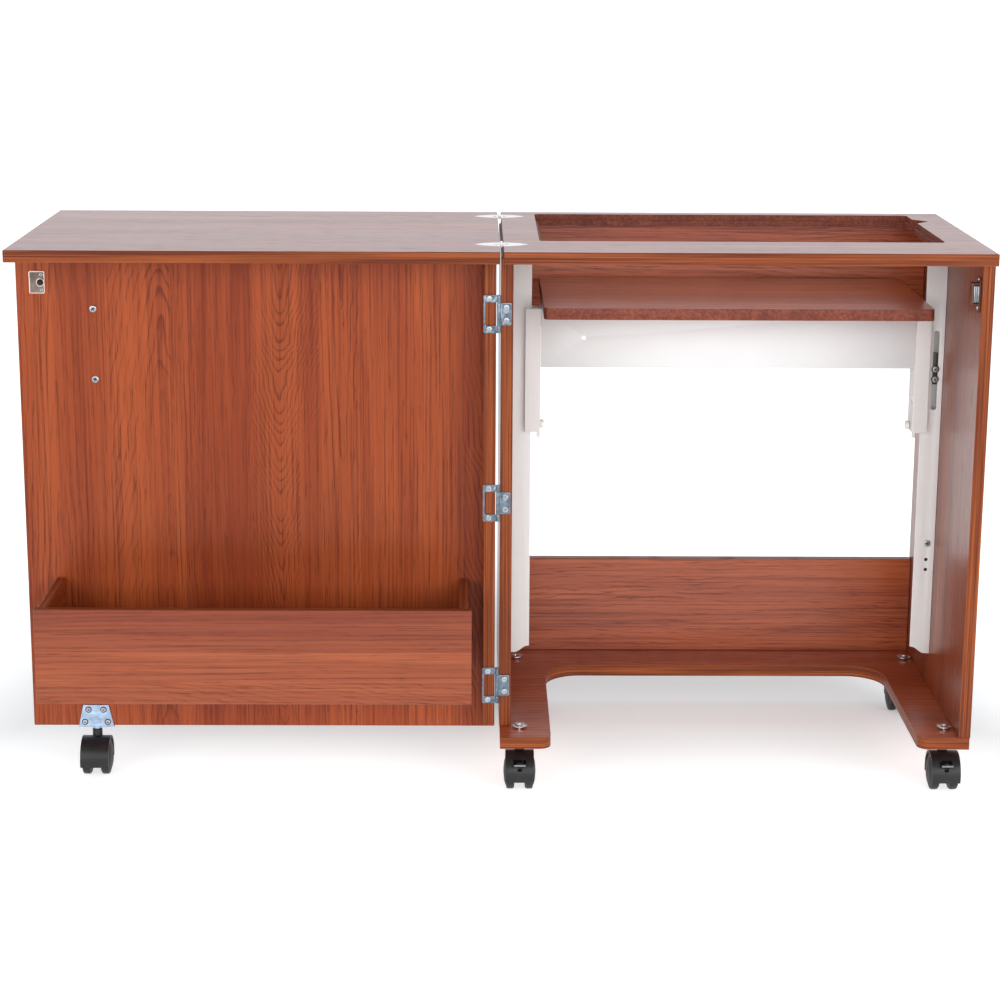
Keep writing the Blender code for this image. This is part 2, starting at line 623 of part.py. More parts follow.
def make_handle(steel, door_axis):
    """A bow handle on the outer face of the door."""
    x = X_DOOR_EDGE + HANDLE_FROM_EDGE
    foot = Y_DOOR_FACE + BOARD + FIT
    middle = Z_DOOR_TOP - HANDLE_DROP - HANDLE_PITCH / 2
    reach = HANDLE_PROUD - HANDLE_RADIUS - FIT
    curve = bpy.data.curves.new("bow", "CURVE")
    curve.dimensions = "3D"
    curve.bevel_depth = HANDLE_RADIUS
    curve.bevel_resolution = 2
    curve.use_fill_caps = True
    spline = curve.splines.new("POLY")
    steps = 20
    spline.points.add(steps)
    for step, point in enumerate(spline.points):
        angle = math.pi * step / steps
        across = -math.copysign(abs(math.cos(angle)) ** 0.5, math.cos(angle))
        point.co = (x, foot + reach * math.sin(angle) ** 0.5, middle + HANDLE_PITCH / 2 * across, 1.0)
    drawn = bpy.data.objects.new("bow", curve)
    cutters.objects.link(drawn)
    bpy.context.view_layer.update()
    handle = new_part("door_handle", evaluated_mesh(drawn), steel, door_axis)
    bpy.data.objects.remove(drawn, do_unlink=True)
    wall = box_mesh((x - HANDLE_PITCH, foot - HANDLE_PITCH, middle - HANDLE_PITCH),
                    (x + HANDLE_PITCH, foot, middle + HANDLE_PITCH))
    boolean(handle, wall)
    settle(handle)
    shade_round(handle)


def make_catch(plastic, rubber, steel, door_axis):
    """The magnet catch inside the right side panel, and the strike plate with its bumper on the door."""
    x1 = X_RIGHT - BOARD - FIT
    y0 = Y_BASE_FRONT + CATCH_SETBACK
    width, depth, height = CATCH_BODY
    z = Z_CATCH
    flange = CATCH_FLANGE_HEIGHT / 2
    body = box_mesh((x1 - width, y0, z - height / 2), (x1, y0 + depth, z + height / 2))
    catch = new_part("magnet_catch", body, plastic)
    seat = box_mesh((x1 - CATCH_FLANGE_THICK, y0 + EDGE_ROUND, z - flange), (x1, y0 + depth, z + flange))
    boolean(catch, seat, "UNION")
    settle(catch)
    strike_x = X_DOOR_EDGE + STRIKE_FROM_EDGE
    y1 = Y_DOOR_FACE - FIT
    plate_face = y1 - STRIKE_THICK
    new_part("strike_plate", box_mesh((strike_x, plate_face, z - STRIKE_HEIGHT / 2),
                                      (strike_x + STRIKE_WIDTH, y1, z + STRIKE_HEIGHT / 2)), steel, door_axis)
    bumper_x = strike_x + BUMPER_IN_STRIKE
    closed_face = 2 * Y_DOOR_AXIS - plate_face
    length = y0 - CATCH_GAP - closed_face - FIT
    start = plate_face - FIT
    bumper = new_part("strike_bumper", rod_mesh([((bumper_x, start - length, z), (bumper_x, start, z))], "Y",
                                                BUMPER_RADIUS, 16), rubber, door_axis)
    shade_round(bumper)


def strap_stem():
    """Axis of the door caster's stem."""
    return X_DOOR_EDGE + STRAP_FROM_EDGE, Y_DOOR_FACE + STRAP_STEM


def make_strap(steel, door_axis):
    """The bent steel bracket on the door: a tapered plate with a flange under the door panel."""
    x, y = strap_stem()
    z0 = Z_DOOR_BOTTOM - FIT - STRAP
    z1 = z0 + STRAP_HEIGHT
    low = STRAP_BOTTOM_WIDTH / 2
    high = STRAP_TOP_WIDTH / 2
    face = Y_DOOR_FACE - FIT
    foot = z0 + OVERLAP
    plate = [(x - low, foot), (x + low, foot), (x + high, z1), (x - high, z1)]
    strap = new_part("door_caster_bracket",
                     outline_mesh(plate, STRAP, (0, face - STRAP / 2, 0), "XZ"), steel, door_axis)
    flange = box_mesh((x - low, face - STRAP + OVERLAP, z0), (x + low, face - STRAP + STRAP_FLANGE, z0 + STRAP))
    boolean(strap, flange, "UNION")
    boolean(strap, rod_mesh([((x, y, z0 - BOARD), (x, y, z0 + BOARD))], "Z", STEM_RADIUS + PIN_PLAY))
    settle(strap)


# Machine lift


def side_x(side, from_middle):
    """X on the left (-1) or right (1) half of the body."""
    return X_MIDDLE + side * from_middle


def span_box(side, near, far, y0, y1, z0, z1):
    """A box on one half of the body, between two distances from its middle."""
    a, b = side_x(side, near), side_x(side, far)
    return box_mesh((min(a, b), y0, z0), (max(a, b), y1, z1))


def make_rail(side, name, paint):
    """A fixed steel channel on the side panel, open towards the middle, with a stepped lower end."""
    wall = WALL
    inner = wall - RAIL_WIDTH
    z0 = Z_RAIL
    z1 = Z_UNDER_TOP - RAIL_HEAD_GAP
    y1 = Y_RAIL + RAIL_DEPTH
    rail = new_part(name, span_box(side, inner, wall, Y_RAIL, y1, z0, z1), paint)
    boolean(rail, span_box(side, inner - BOARD, wall - STEEL, Y_RAIL + STEEL, y1 - STEEL,
                           z0 - BOARD, z1 + BOARD))
    boolean(rail, span_box(side, inner - BOARD, wall - RAIL_BACK_WIDTH, Y_RAIL + 2 * STEEL, y1 + STEEL,
                           z0 - BOARD, z1 + BOARD))
    step = [(inner - STEEL, z0 - STEEL), (wall - RAIL_FOOT, z0 - STEEL)]
    for index in range(9):
        share = index / 8
        rise = RAIL_STEP * (1 - math.cos(math.pi * share)) / 2
        step.append((wall - RAIL_FOOT - (RAIL_WIDTH - RAIL_FOOT - STEEL) * share, z0 + rise))
    step.append((inner - STEEL, z0 + RAIL_STEP))
    points = [(side_x(side, u), v) for u, v in step]
    boolean(rail, outline_mesh(points, 2 * STEEL, (0, Y_RAIL + STEEL / 2, 0), "XZ"))
    if side > 0:
        cut_slot(rail)
    settle(rail)


def cut_slot(rail):
    """The adjusting slot, the stop screw's hole and the two spare holes in the right rail."""
    x = side_x(1, WALL - SLOT_FROM_PANEL)
    half = SLOT_WIDTH / 2
    top = TOP_HEIGHT - SLOT_DROP - half
    bottom = TOP_HEIGHT - SLOT_DROP - SLOT_LENGTH + half
    slot = arc((x, top), half, 0, 180) + arc((x, bottom), half, 180, 360)
    boolean(rail, outline_mesh(slot, 4 * STEEL, (0, Y_RAIL, 0), "XZ"))
    first = Z_STOP - SPARE_HOLE_BELOW
    spare = [((x, Y_RAIL - STEEL, z), (x, Y_RAIL + 2 * STEEL, z)) for z in (first, first - SPARE_HOLE_PITCH)]
    boolean(rail, rod_mesh(spare, "Y", SPARE_HOLE_RADIUS, 12))
    hole = [((x, Y_RAIL - STEEL, Z_STOP), (x, Y_RAIL + 2 * STEEL, Z_STOP))]
    boolean(rail, rod_mesh(hole, "Y", STOP_SHANK_RADIUS + PIN_PLAY, 16))


def make_stop(steel):
    """The screw that the lower glide comes down on."""
    x = side_x(1, WALL - SLOT_FROM_PANEL)
    head = STOP_HEAD_RADIUS
    shank = STOP_SHANK_RADIUS
    length = STOP_SHANK_LENGTH
    profile = [(0, STOP_HEAD_THICK), (head * 0.7, STOP_HEAD_THICK), (head, STOP_HEAD_THICK / 2), (head, 0),
               (shank, 0), (shank, -length), (0, -length)]
    mesh = turned_mesh(profile, 16)
    mesh.transform(Matrix.Rotation(math.pi / 2, 4, "X"))
    mesh.transform(Matrix.Translation((x, Y_RAIL - FIT, Z_STOP)))
    shade_round(new_part("lift_stop_screw", mesh, steel))


def make_carriage(side, word, paint, plastic, steel, lift_axis):
    """One sliding carriage with its glides, pin and platform bracket."""
    web = WEB
    z0, z1 = Z_CARRIAGE_BOTTOM, Z_CARRIAGE_TOP
    back = Y_CARRIAGE + CARRIAGE_WEB
    carriage = new_part(word + "_lift_carriage",
                        span_box(side, web, web + CARRIAGE_FLANGE, Y_CARRIAGE, Y_CARRIAGE + STEEL, z0, z1),
                        paint, lift_axis)
    boolean(carriage, span_box(side, web, web + STEEL, Y_CARRIAGE, back, z0, z1), "UNION")
    foot_width, foot_height = CARRIAGE_FOOT
    foot = span_box(side, web, web + foot_width, Y_CARRIAGE, Y_CARRIAGE + STEEL, z0 - foot_height, z0 + STEEL)
    boolean(carriage, foot, "UNION")
    settle(carriage)
    y0 = Y_RAIL + STEEL + FIT
    y1 = Y_RAIL + RAIL_DEPTH - STEEL - FIT
    low = z0 + GLIDE_LOW_RISE
    high = z1 - GLIDE_UP_DROP - GLIDE_HEIGHT
    for level, z in (("upper", high), ("lower", low)):
        block = span_box(side, web + STEEL + FIT, WALL - STEEL - FIT, y0, y1, z, z + GLIDE_HEIGHT)
        glide = new_part(f"{word}_{level}_glide", block, plastic, lift_axis)
        soften(glide, EDGE_ROUND)
    inside = web - FIT
    pin_y = Y_CARRIAGE + CARRIAGE_WEB * 0.6
    pin_z = z0 + CARRIAGE_PIN_RISE
    start = side_x(side, inside)
    end = side_x(side, inside - CARRIAGE_PIN_LENGTH)
    pin = new_part(word + "_carriage_pin", rod_mesh([((start, pin_y, pin_z), (end, pin_y, pin_z))], "X",
                                                    CARRIAGE_PIN_RADIUS, 20), plastic, lift_axis)
    shade_round(pin)
    under = Z_PLATFORM - BOARD - FIT
    y2 = Y_CARRIAGE + STEEL + 2 * FIT
    ell = [(inside, under - BRACKET_LEG), (inside, under), (inside - BRACKET_REACH, under),
           (inside - BRACKET_REACH, under - STEEL), (inside - STEEL, under - STEEL),
           (inside - STEEL, under - BRACKET_LEG)]
    points = [(side_x(side, u), v) for u, v in ell]
    new_part(word + "_platform_bracket",
             outline_mesh(points, BRACKET_WIDTH, (0, y2 + BRACKET_WIDTH / 2, 0), "XZ"), steel, lift_axis)


def make_lift(laminate, paint, plastic, steel, lift_axis):
    """The rails, and everything that rides up and down on them."""
    make_rail(-1, "left_lift_rail", paint)
    make_rail(1, "right_lift_rail", paint)
    make_stop(steel)
    make_carriage(-1, "left", paint, plastic, steel, lift_axis)
    make_carriage(1, "right", paint, plastic, steel, lift_axis)
    half = WEB - FIT
    z1 = Z_CARRIAGE_TOP
    z0 = z1 - CROSS_PANEL_HEIGHT
    cross = new_part("lift_cross_panel", box_mesh((X_MIDDLE - half, Y_CARRIAGE, z0),
                                                  (X_MIDDLE + half, Y_CARRIAGE + STEEL, z1)), paint, lift_axis)
    hole_x = X_MIDDLE - half + CROSS_HOLE[0]
    hole_z = z0 + CROSS_HOLE[1]
    boolean(cross, rod_mesh([((hole_x, Y_CARRIAGE - STEEL, hole_z), (hole_x, Y_CARRIAGE + 2 * STEEL, hole_z))],
                            "Y", CROSS_HOLE_RADIUS, 16))
    margin = LIP_WIDTH + PLATFORM_PLAY
    half = HALF_CUTOUT - margin
    outline = rounded_rectangle(X_CUTOUT - half, X_CUTOUT + half, Y_CUTOUT_FRONT + margin, Y_CUTOUT_BACK - margin,
                                PLATFORM_CORNER)
    platform = new_part("machine_platform", outline_mesh(outline, BOARD, (0, 0, Z_PLATFORM - BOARD / 2)), laminate,
                        lift_axis)
    soften(platform, PLATFORM_EDGE)


# Casters


def hood_mesh(name, plastic, braked):
    """A caster's hood about its swivel axis, on the floor, with the wheels on the -Y side."""
    half = HOOD_WEB / 2 + WHEEL_PLAY + WHEEL_WIDTH
    axle = (-TRAIL, WHEEL_RADIUS)
    hood = new_part(name, rod_mesh([((-half, *axle), (half, *axle))], "X", HOOD_RADIUS, 32), plastic)
    neck = [((0, 0, WHEEL_RADIUS), (0, 0, HOOD_TOP_Z))]
    boolean(hood, rod_mesh(neck, "Z", HOOD_NECK_RADIUS), "UNION")
    pocket = WHEEL_RADIUS + WHEEL_PLAY
    inner = HOOD_WEB / 2
    pockets = [((-2 * half, *axle), (-inner, *axle)), ((inner, *axle), (2 * half, *axle))]
    boolean(hood, rod_mesh(pockets, "X", pocket, 32))
    reach = 2 * HOOD_RADIUS
    boolean(hood, box_mesh((-reach, -TRAIL - reach, -reach), (reach, reach, HOOD_SKIRT_Z)))
    boolean(hood, rod_mesh([((-half, *axle), (half, *axle))], "X", AXLE_RADIUS + PIN_PLAY, 16))
    socket = [((0, 0, HOOD_TOP_Z - STEM_DEPTH), (0, 0, HOOD_TOP_Z + STEM_DEPTH))]
    boolean(hood, rod_mesh(socket, "Z", STEM_RADIUS + PIN_PLAY, 16))
    if braked:
        neck_half = TAB_NECK / 2 + FIT
        room = TAB_THICK / 2 + TAB_PLAY
        boolean(hood, box_mesh((-neck_half, -TRAIL - reach, TAB_PIVOT_Z - room),
                               (neck_half, -TRAIL - TAB_PIVOT + room, TAB_PIVOT_Z + room)))
    mesh = settle(hood)
    bpy.data.objects.remove(hood, do_unlink=True)
    return mesh


def wheel_mesh():
    """Two wheels on one axle, turned about X at the middle of the axle, a flat of the tread down."""
    inner = HOOD_WEB / 2 + WHEEL_PLAY
    outer = inner + WHEEL_WIDTH - WHEEL_PLAY
    dish = outer - 3 * MM
    steps = 32
    tyre = WHEEL_RADIUS / math.cos(math.pi / steps)
    half = [(0, dish + 2 * MM), (7 * MM, dish + 2 * MM), (8 * MM, dish), (tyre - 6 * MM, dish), (tyre - 5 * MM, outer),
            (tyre - MM, outer), (tyre, outer - MM), (tyre, inner + MM), (tyre - MM, inner), (AXLE_RADIUS, inner)]
    profile = half + [(radius, -height) for radius, height in reversed(half)]
    mesh = turned_mesh(profile, steps)
    mesh.transform(Matrix.Rotation(math.pi / steps, 4, "Z"))
    mesh.transform(Matrix.Rotation(math.pi / 2, 4, "Y"))
    return mesh


def tab_mesh():
    """A brake tab about its pivot: a neck in the hood's slot and a paddle outside it."""
    hood_here = math.sqrt(HOOD_RADIUS ** 2 - (TAB_PIVOT_RISE - TAB_THICK) ** 2)
    front = TAB_PIVOT - hood_here - TAB_HOOD_GAP
    thick = TAB_THICK / 2
    tab = new_part("tab", box_mesh((-TAB_WIDTH / 2, front - TAB_LENGTH, -thick), (TAB_WIDTH / 2, front, thick)), None)
    boolean(tab, box_mesh((-TAB_NECK / 2, front - MM, -thick), (TAB_NECK / 2, thick, thick)), "UNION")
    mesh = settle(tab)
    bpy.data.objects.remove(tab, do_unlink=True)
    return mesh


def stem_profile(head, under):
    """A caster stem's outline, down its outer side: its head, a collar under the mount, and the foot in the hood."""
    foot = HOOD_TOP_Z - STEM_DEPTH + FIT
    collar = HOOD_TOP_Z + FIT
    return head + [(COLLAR_RADIUS, under), (COLLAR_RADIUS, collar), (STEM_RADIUS, collar), (STEM_RADIUS, foot),
                   (0, foot)]


def place_local(name, mesh, material, parent, location=(0, 0, 0)):
    """Places a mesh drawn about its own axis under its parent empty."""
    part = bpy.data.objects.new(name, mesh)
    part.parent = parent
    part.location = location
    parts.objects.link(part)
    if not mesh.materials:
        mesh.materials.append(material)
    shade_round(part)
    return part


def make_casters(plastic, tyre, steel, door_axis):
    """Four casters under the base and one under the door."""
    plain = hood_mesh("plain_hood", plastic, False)
    braked = hood_mesh("braked_hood", plastic, True)
    wheels = wheel_mesh()
    tab = tab_mesh()
    nut = Z_BASE_TOP + FIT
    under = BASE_BOTTOM - FIT
    base_stem = turned_mesh(stem_profile([(0, nut + TNUT_THICK), (TNUT_RADIUS, nut + TNUT_THICK), (TNUT_RADIUS, nut),
                                          (TNUT_BARREL, nut), (TNUT_BARREL, under)], under))
    end = Z_DOOR_BOTTOM - FIT
    under = end - STRAP - FIT
    door_stem = turned_mesh(stem_profile([(0, end), (STEM_RADIUS, end), (STEM_RADIUS, under)], under))
    casters = [(name, x, y, None, base_stem) for name, (x, y) in caster_places().items()]
    casters.append(("door", *strap_stem(), door_axis, door_stem))
    for name, x, y, carrier, stem in casters:
        stem_part = new_part(name + "_caster_stem", stem.copy(), steel)
        stem_part.location = (x, y, 0)
        turn = math.pi if name.startswith("rear") else 0.0
        offset = carrier.location if carrier else Vector((0, 0, 0))
        if carrier:
            stem_part.parent = carrier
            stem_part.location = Vector((x, y, 0)) - offset
        shade_round(stem_part)
        swivel = axis_empty(name + "_swivel_axis", Vector((x, y, 0)) - offset, carrier, turn)
        has_brake = name.startswith("front")
        place_local(name + "_caster_hood", braked if has_brake else plain, plastic, swivel)
        axle = axis_empty(name + "_axle_axis", (0, -TRAIL, WHEEL_RADIUS), swivel)
        place_local(name + "_caster_wheels", wheels, tyre, axle)
        if has_brake:
            pivot = axis_empty(name + "_brake_axis", (0, -TRAIL - TAB_PIVOT, TAB_PIVOT_Z), swivel)
            place_local(name + "_caster_brake", tab, plastic, pivot)


def main():
    start_scene()
    laminate = finish("cherry_laminate", (0.36, 0.10, 0.045), 0.42)
    paint = finish("white_painted_steel", (0.82, 0.80, 0.77), 0.45)
    zinc = finish("zinc_steel", (0.62, 0.66, 0.70), 0.32, 0.9)
    nylon = finish("white_nylon", (0.85, 0.85, 0.82), 0.5)
    plastic = finish("black_plastic", (0.02, 0.02, 0.022), 0.45)
    rubber = finish("black_rubber", (0.015, 0.015, 0.015), 0.7)
    door_axis = axis_empty("door_axis", (0, Y_DOOR_AXIS, 0))
    leaf_axis = axis_empty("leaf_axis", (X_LEAF_AXIS, 0, Z_LEAF_AXIS))
    lift_axis = axis_empty("lift_axis", (X_MIDDLE, Y_RAIL, Z_PLATFORM))
    make_tops(laminate, leaf_axis)
    make_carcass(laminate)
    make_base(laminate)
    for name, z in HINGE_CENTRES.items():
        make_door_hinge(name, z, zinc, door_axis)
    for name, from_front in OVAL_FROM_FRONT.items():
        make_leaf_hinge(name, from_front, zinc, leaf_axis)
    make_door(laminate, door_axis)
    make_handle(zinc, door_axis)
    make_catch(plastic, rubber, zinc, door_axis)
    make_strap(zinc, door_axis)
    make_lift(laminate, paint, nylon, zinc, lift_axis)
    make_casters(plastic, rubber, zinc, door_axis)


main()
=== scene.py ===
"""Looks of the open sewing cabinet: cherry laminate, white lift steel, zinc hardware and black casters."""
import math
from collections import namedtuple

import bmesh
import bpy
from mathutils import Matrix, Vector


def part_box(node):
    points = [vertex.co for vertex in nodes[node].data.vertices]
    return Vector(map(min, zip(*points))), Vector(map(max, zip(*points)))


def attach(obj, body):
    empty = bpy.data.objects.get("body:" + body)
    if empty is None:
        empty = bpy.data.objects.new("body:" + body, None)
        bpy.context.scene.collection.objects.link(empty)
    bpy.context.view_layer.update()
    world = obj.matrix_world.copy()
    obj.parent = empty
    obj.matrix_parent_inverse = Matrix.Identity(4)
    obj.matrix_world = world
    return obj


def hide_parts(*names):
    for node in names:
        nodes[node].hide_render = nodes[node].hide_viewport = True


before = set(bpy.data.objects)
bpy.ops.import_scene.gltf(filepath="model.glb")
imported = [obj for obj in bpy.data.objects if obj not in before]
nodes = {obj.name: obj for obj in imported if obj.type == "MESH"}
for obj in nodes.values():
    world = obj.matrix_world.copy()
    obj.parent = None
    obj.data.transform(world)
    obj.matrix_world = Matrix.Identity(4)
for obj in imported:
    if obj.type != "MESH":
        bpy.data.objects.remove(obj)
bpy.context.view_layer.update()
MM = 0.001
FORWARD = (0, -1, 0)
UP = (0, 0, 1)


# Shader maths


class Tone:
    """A value in a node tree, which Python's operators combine."""

    def __init__(self, owner, socket):
        self.owner = owner
        self.socket = socket

    def math(self, operation, *values):
        return self.owner.node("ShaderNodeMath", {"operation": operation}, dict(enumerate(values)))

    def __add__(self, other):
        return self.math("ADD", self, other)

    def __radd__(self, other):
        return self.math("ADD", other, self)

    def __sub__(self, other):
        return self.math("SUBTRACT", self, other)

    def __rsub__(self, other):
        return self.math("SUBTRACT", other, self)

    def __mul__(self, other):
        return self.math("MULTIPLY", self, other)

    def __abs__(self):
        return self.math("ABSOLUTE", self)

    def root(self):
        return self.math("SQRT", self)

    def fract(self):
        return self.math("FRACT", self)

    def most(self, other):
        return self.math("MAXIMUM", self, other)

    def over(self, limit):
        return self.math("GREATER_THAN", self, limit)

    def held(self, low=0.0, high=1.0):
        """Kept between two limits."""
        return self.math("MINIMUM", self.most(low), high)

    def swing(self, width, middle=0.5):
        """How far it lies from a middle value, times a width."""
        return (self - middle) * width

    def rise(self, low, high):
        """0 below low, 1 above high, smooth between."""
        settings = {"interpolation_type": "SMOOTHSTEP"}
        limits = {"Value": self, 1: low, 2: high, 3: 0.0, 4: 1.0}
        return self.owner.node("ShaderNodeMapRange", settings, limits)


class NodeTree:
    """A node tree, with one method that adds any node to it."""

    def __init__(self, tree):
        self.tree = tree

    def node(self, kind, settings=None, inputs=None, out=0):
        """Adds a node: its settings first, then the values or links of its sockets."""
        made = self.tree.nodes.new(kind)
        for key, value in (settings or {}).items():
            setattr(made, key, value)
        for key, value in (inputs or {}).items():
            self.feed(made.inputs[key], value)
        return Tone(self, made.outputs[out])

    def feed(self, socket, value):
        """Links a tone to a socket, or sets a plain value or colour on it."""
        if isinstance(value, Tone):
            self.tree.links.new(value.socket, socket)
        elif socket.type == "RGBA":
            socket.default_value = (*value, 1.0)
        else:
            socket.default_value = value

    def split(self, vector):
        """A vector's three values, by their letters."""
        made = self.node("ShaderNodeSeparateXYZ", None, {0: vector}).socket.node
        return {letter: Tone(self, made.outputs[letter]) for letter in "XYZ"}


class Finish(NodeTree):
    """A material, with the few steps that its surface needs."""

    def __init__(self, name, roughness=0.5, metallic=0.0, coat=0.0, coat_roughness=0.1):
        self.material = bpy.data.materials.new(name)
        self.material.use_nodes = True
        super().__init__(self.material.node_tree)
        self.shader = self.tree.nodes["Principled BSDF"]
        self.set(Roughness=roughness, Metallic=metallic, Coat_Weight=coat, Coat_Roughness=coat_roughness)
        self.place = None

    def set(self, **inputs):
        """Feeds the surface's own sockets, named with _ for a space."""
        for key, value in inputs.items():
            self.feed(self.shader.inputs[key.replace("_", " ")], value)

    def object_place(self):
        """The Object coordinates, which every pattern reads."""
        if self.place is None:
            self.place = self.node("ShaderNodeTexCoord", out="Object")
        return self.place

    def axes(self):
        """The Object coordinates as three values."""
        return self.split(self.object_place())

    def facing(self):
        """How far the surface's own normal points along each axis, without its sign."""
        normal = self.node("ShaderNodeTexCoord", out="Normal")
        return {letter: abs(part) for letter, part in self.split(normal).items()}

    def vector(self, x, y, z):
        return self.node("ShaderNodeCombineXYZ", None, {0: x, 1: y, 2: z})

    def noise(self, vector, scale, detail=2.0, rough=0.5):
        inputs = {"Vector": vector, "Scale": scale, "Detail": detail, "Roughness": rough}
        return self.node("ShaderNodeTexNoise", None, inputs)

    def blend(self, share, first, second, kind="MIX"):
        """Two colours mixed by a share."""
        settings = {"data_type": "RGBA", "blend_type": kind}
        return self.node("ShaderNodeMix", settings, {0: share, 6: first, 7: second}, out=2)

    def bump(self, height, strength, distance):
        inputs = {"Strength": strength, "Distance": distance, "Height": height}
        self.set(Normal=self.node("ShaderNodeBump", None, inputs))


# Cherry laminate

CHERRY_LIGHT = (0.40, 0.087, 0.023)
CHERRY_MID = (0.235, 0.036, 0.0085)
CHERRY_DARK = (0.105, 0.015, 0.0035)
BAND_LIGHT = (0.345, 0.083, 0.019)
BAND_DARK = (0.115, 0.020, 0.005)
SPRAY_LIGHT = (0.285, 0.078, 0.046)
SPRAY_DARK = (0.13, 0.030, 0.018)

# What each part of the figure does to the board: how far it darkens, roughens, dulls and raises it
Figure = namedtuple("Figure", "shade rough dull height")
RING_LINE = Figure(0.50, 0.06, 0.2, -0.2)
FIBRE = Figure(2.1, 0.12, 1.1, 0.35)
PORE = Figure(0.36, 0.10, 0.35, -0.8)
PLAIN_SHADE = 0.16
SHADE_OFFSET = -0.06
DEEPEST_SHADE = 0.8
PLAIN_ROUGHNESS = 0.33
TONE_SWING = 2.5

# How far the growth rings stray, in metres and then in rings
SLOW_BEND = 0.045
JAG_BEND = 0.009
ARCH_BEND = 0.15
RING_SLOW = 2.5
RING_JAG = 1.2
HEART_ROUND = 0.00003
STRIP_STEP = 3.7

Strip = namedtuple("Strip", "edge heart arches rings light")


def wood_grain(finish, across, along, deep, strips, contrast):
    """Cherry printed on laminate: strips with arched growth rings, broad tones, fibres and pores.

    A strip has its edge and its heart, both places across the board in metres, its arches per metre along
    the board, its rings per metre across it, and how light it is.
    """
    past = [(across - strip.edge).over(0.0) for strip in strips[1:]]
    layer = deep + sum(past) * STRIP_STEP

    def by_strip(field):
        values = [getattr(strip, field) for strip in strips]
        total = values[0]
        for step, before, after in zip(past, values, values[1:]):
            total = total + step * (after - before)
        return total

    def streaks(turns_across, turns_along, shift, detail, rough=0.5, start=across):
        """Noise drawn out along the grain, by its turns per metre across the board and along it."""
        place = finish.vector(start * turns_across, along * turns_along, layer + shift)
        return finish.noise(place, 1.0, detail, rough)

    slow = streaks(4.0, 1.8, 0.0, 2.0)
    jag = streaks(38.0, 12.0, 0.0, 3.0, 0.6)
    uneven = streaks(2.0, 11.0, 11.0, 2.0)
    vary = streaks(18.0, 2.6, 7.0, 2.0)
    fibre = streaks(390.0, 3.6, 0.0, 3.0, 0.68)
    pore = streaks(700.0, 28.0, 0.0, 2.0).rise(0.56, 0.72)
    wander = across + slow.swing(SLOW_BEND) + jag.swing(JAG_BEND)
    band = streaks(24.0, 0.8, 3.0, 4.0, 0.62, wander)

    side = wander - by_strip("heart")
    reach = along + uneven.swing(ARCH_BEND)
    count = (side * side + HEART_ROUND).root() * by_strip("rings") + reach * by_strip("arches")
    ring = (count + slow.swing(RING_SLOW) + jag.swing(RING_JAG)).fract()
    strength = (vary * 3.2 - 0.95).held(0.10)
    line = ring.rise(0.58, 0.94) * (1.0 - ring.rise(0.955, 1.0)) * strength
    near_heart = 1.0 - abs(side).rise(0.015, 0.06) * 0.45

    warm = (band.swing(TONE_SWING) + 0.5 + by_strip("light")).held()
    shade = line * near_heart * RING_LINE.shade + fibre.swing(FIBRE.shade) + pore * PORE.shade + SHADE_OFFSET
    share = (PLAIN_SHADE + shade * contrast).held(0.0, DEEPEST_SHADE)
    colour = finish.blend(share, finish.blend(warm, CHERRY_MID, CHERRY_LIGHT), CHERRY_DARK)
    rough = PLAIN_ROUGHNESS + fibre * FIBRE.rough + pore * PORE.rough + line * RING_LINE.rough
    gloss = 1.0 - pore * PORE.dull - line * RING_LINE.dull - fibre.swing(FIBRE.dull)
    relief = fibre * FIBRE.height + pore * PORE.height + line * RING_LINE.height
    return colour, rough, gloss, relief


def edge_band(finish, thick, long):
    """Glued edge strip: straight fine lines along its length."""
    lines = finish.noise(finish.vector(thick * 420.0, long * 2.2, 0.0), 1.0, 3.0, 0.6)
    hair = finish.noise(finish.vector(thick * 1500.0, long * 10.0, 3.0), 1.0, 2.0)
    share = (lines.swing(4.0, 0.41) + hair.swing(1.4)).held()
    return finish.blend(share, BAND_DARK, BAND_LIGHT)


def spray(finish):
    """Sprayed fibreboard edge: mottled paint over a slightly furry cut."""
    mottle = finish.noise(finish.object_place(), 260.0, 4.0, 0.65)
    cloud = finish.noise(finish.object_place(), 34.0, 2.0)
    share = (mottle.swing(2.8, 0.38) + cloud.swing(1.2)).held()
    return finish.blend(share, SPRAY_DARK, SPRAY_LIGHT), mottle


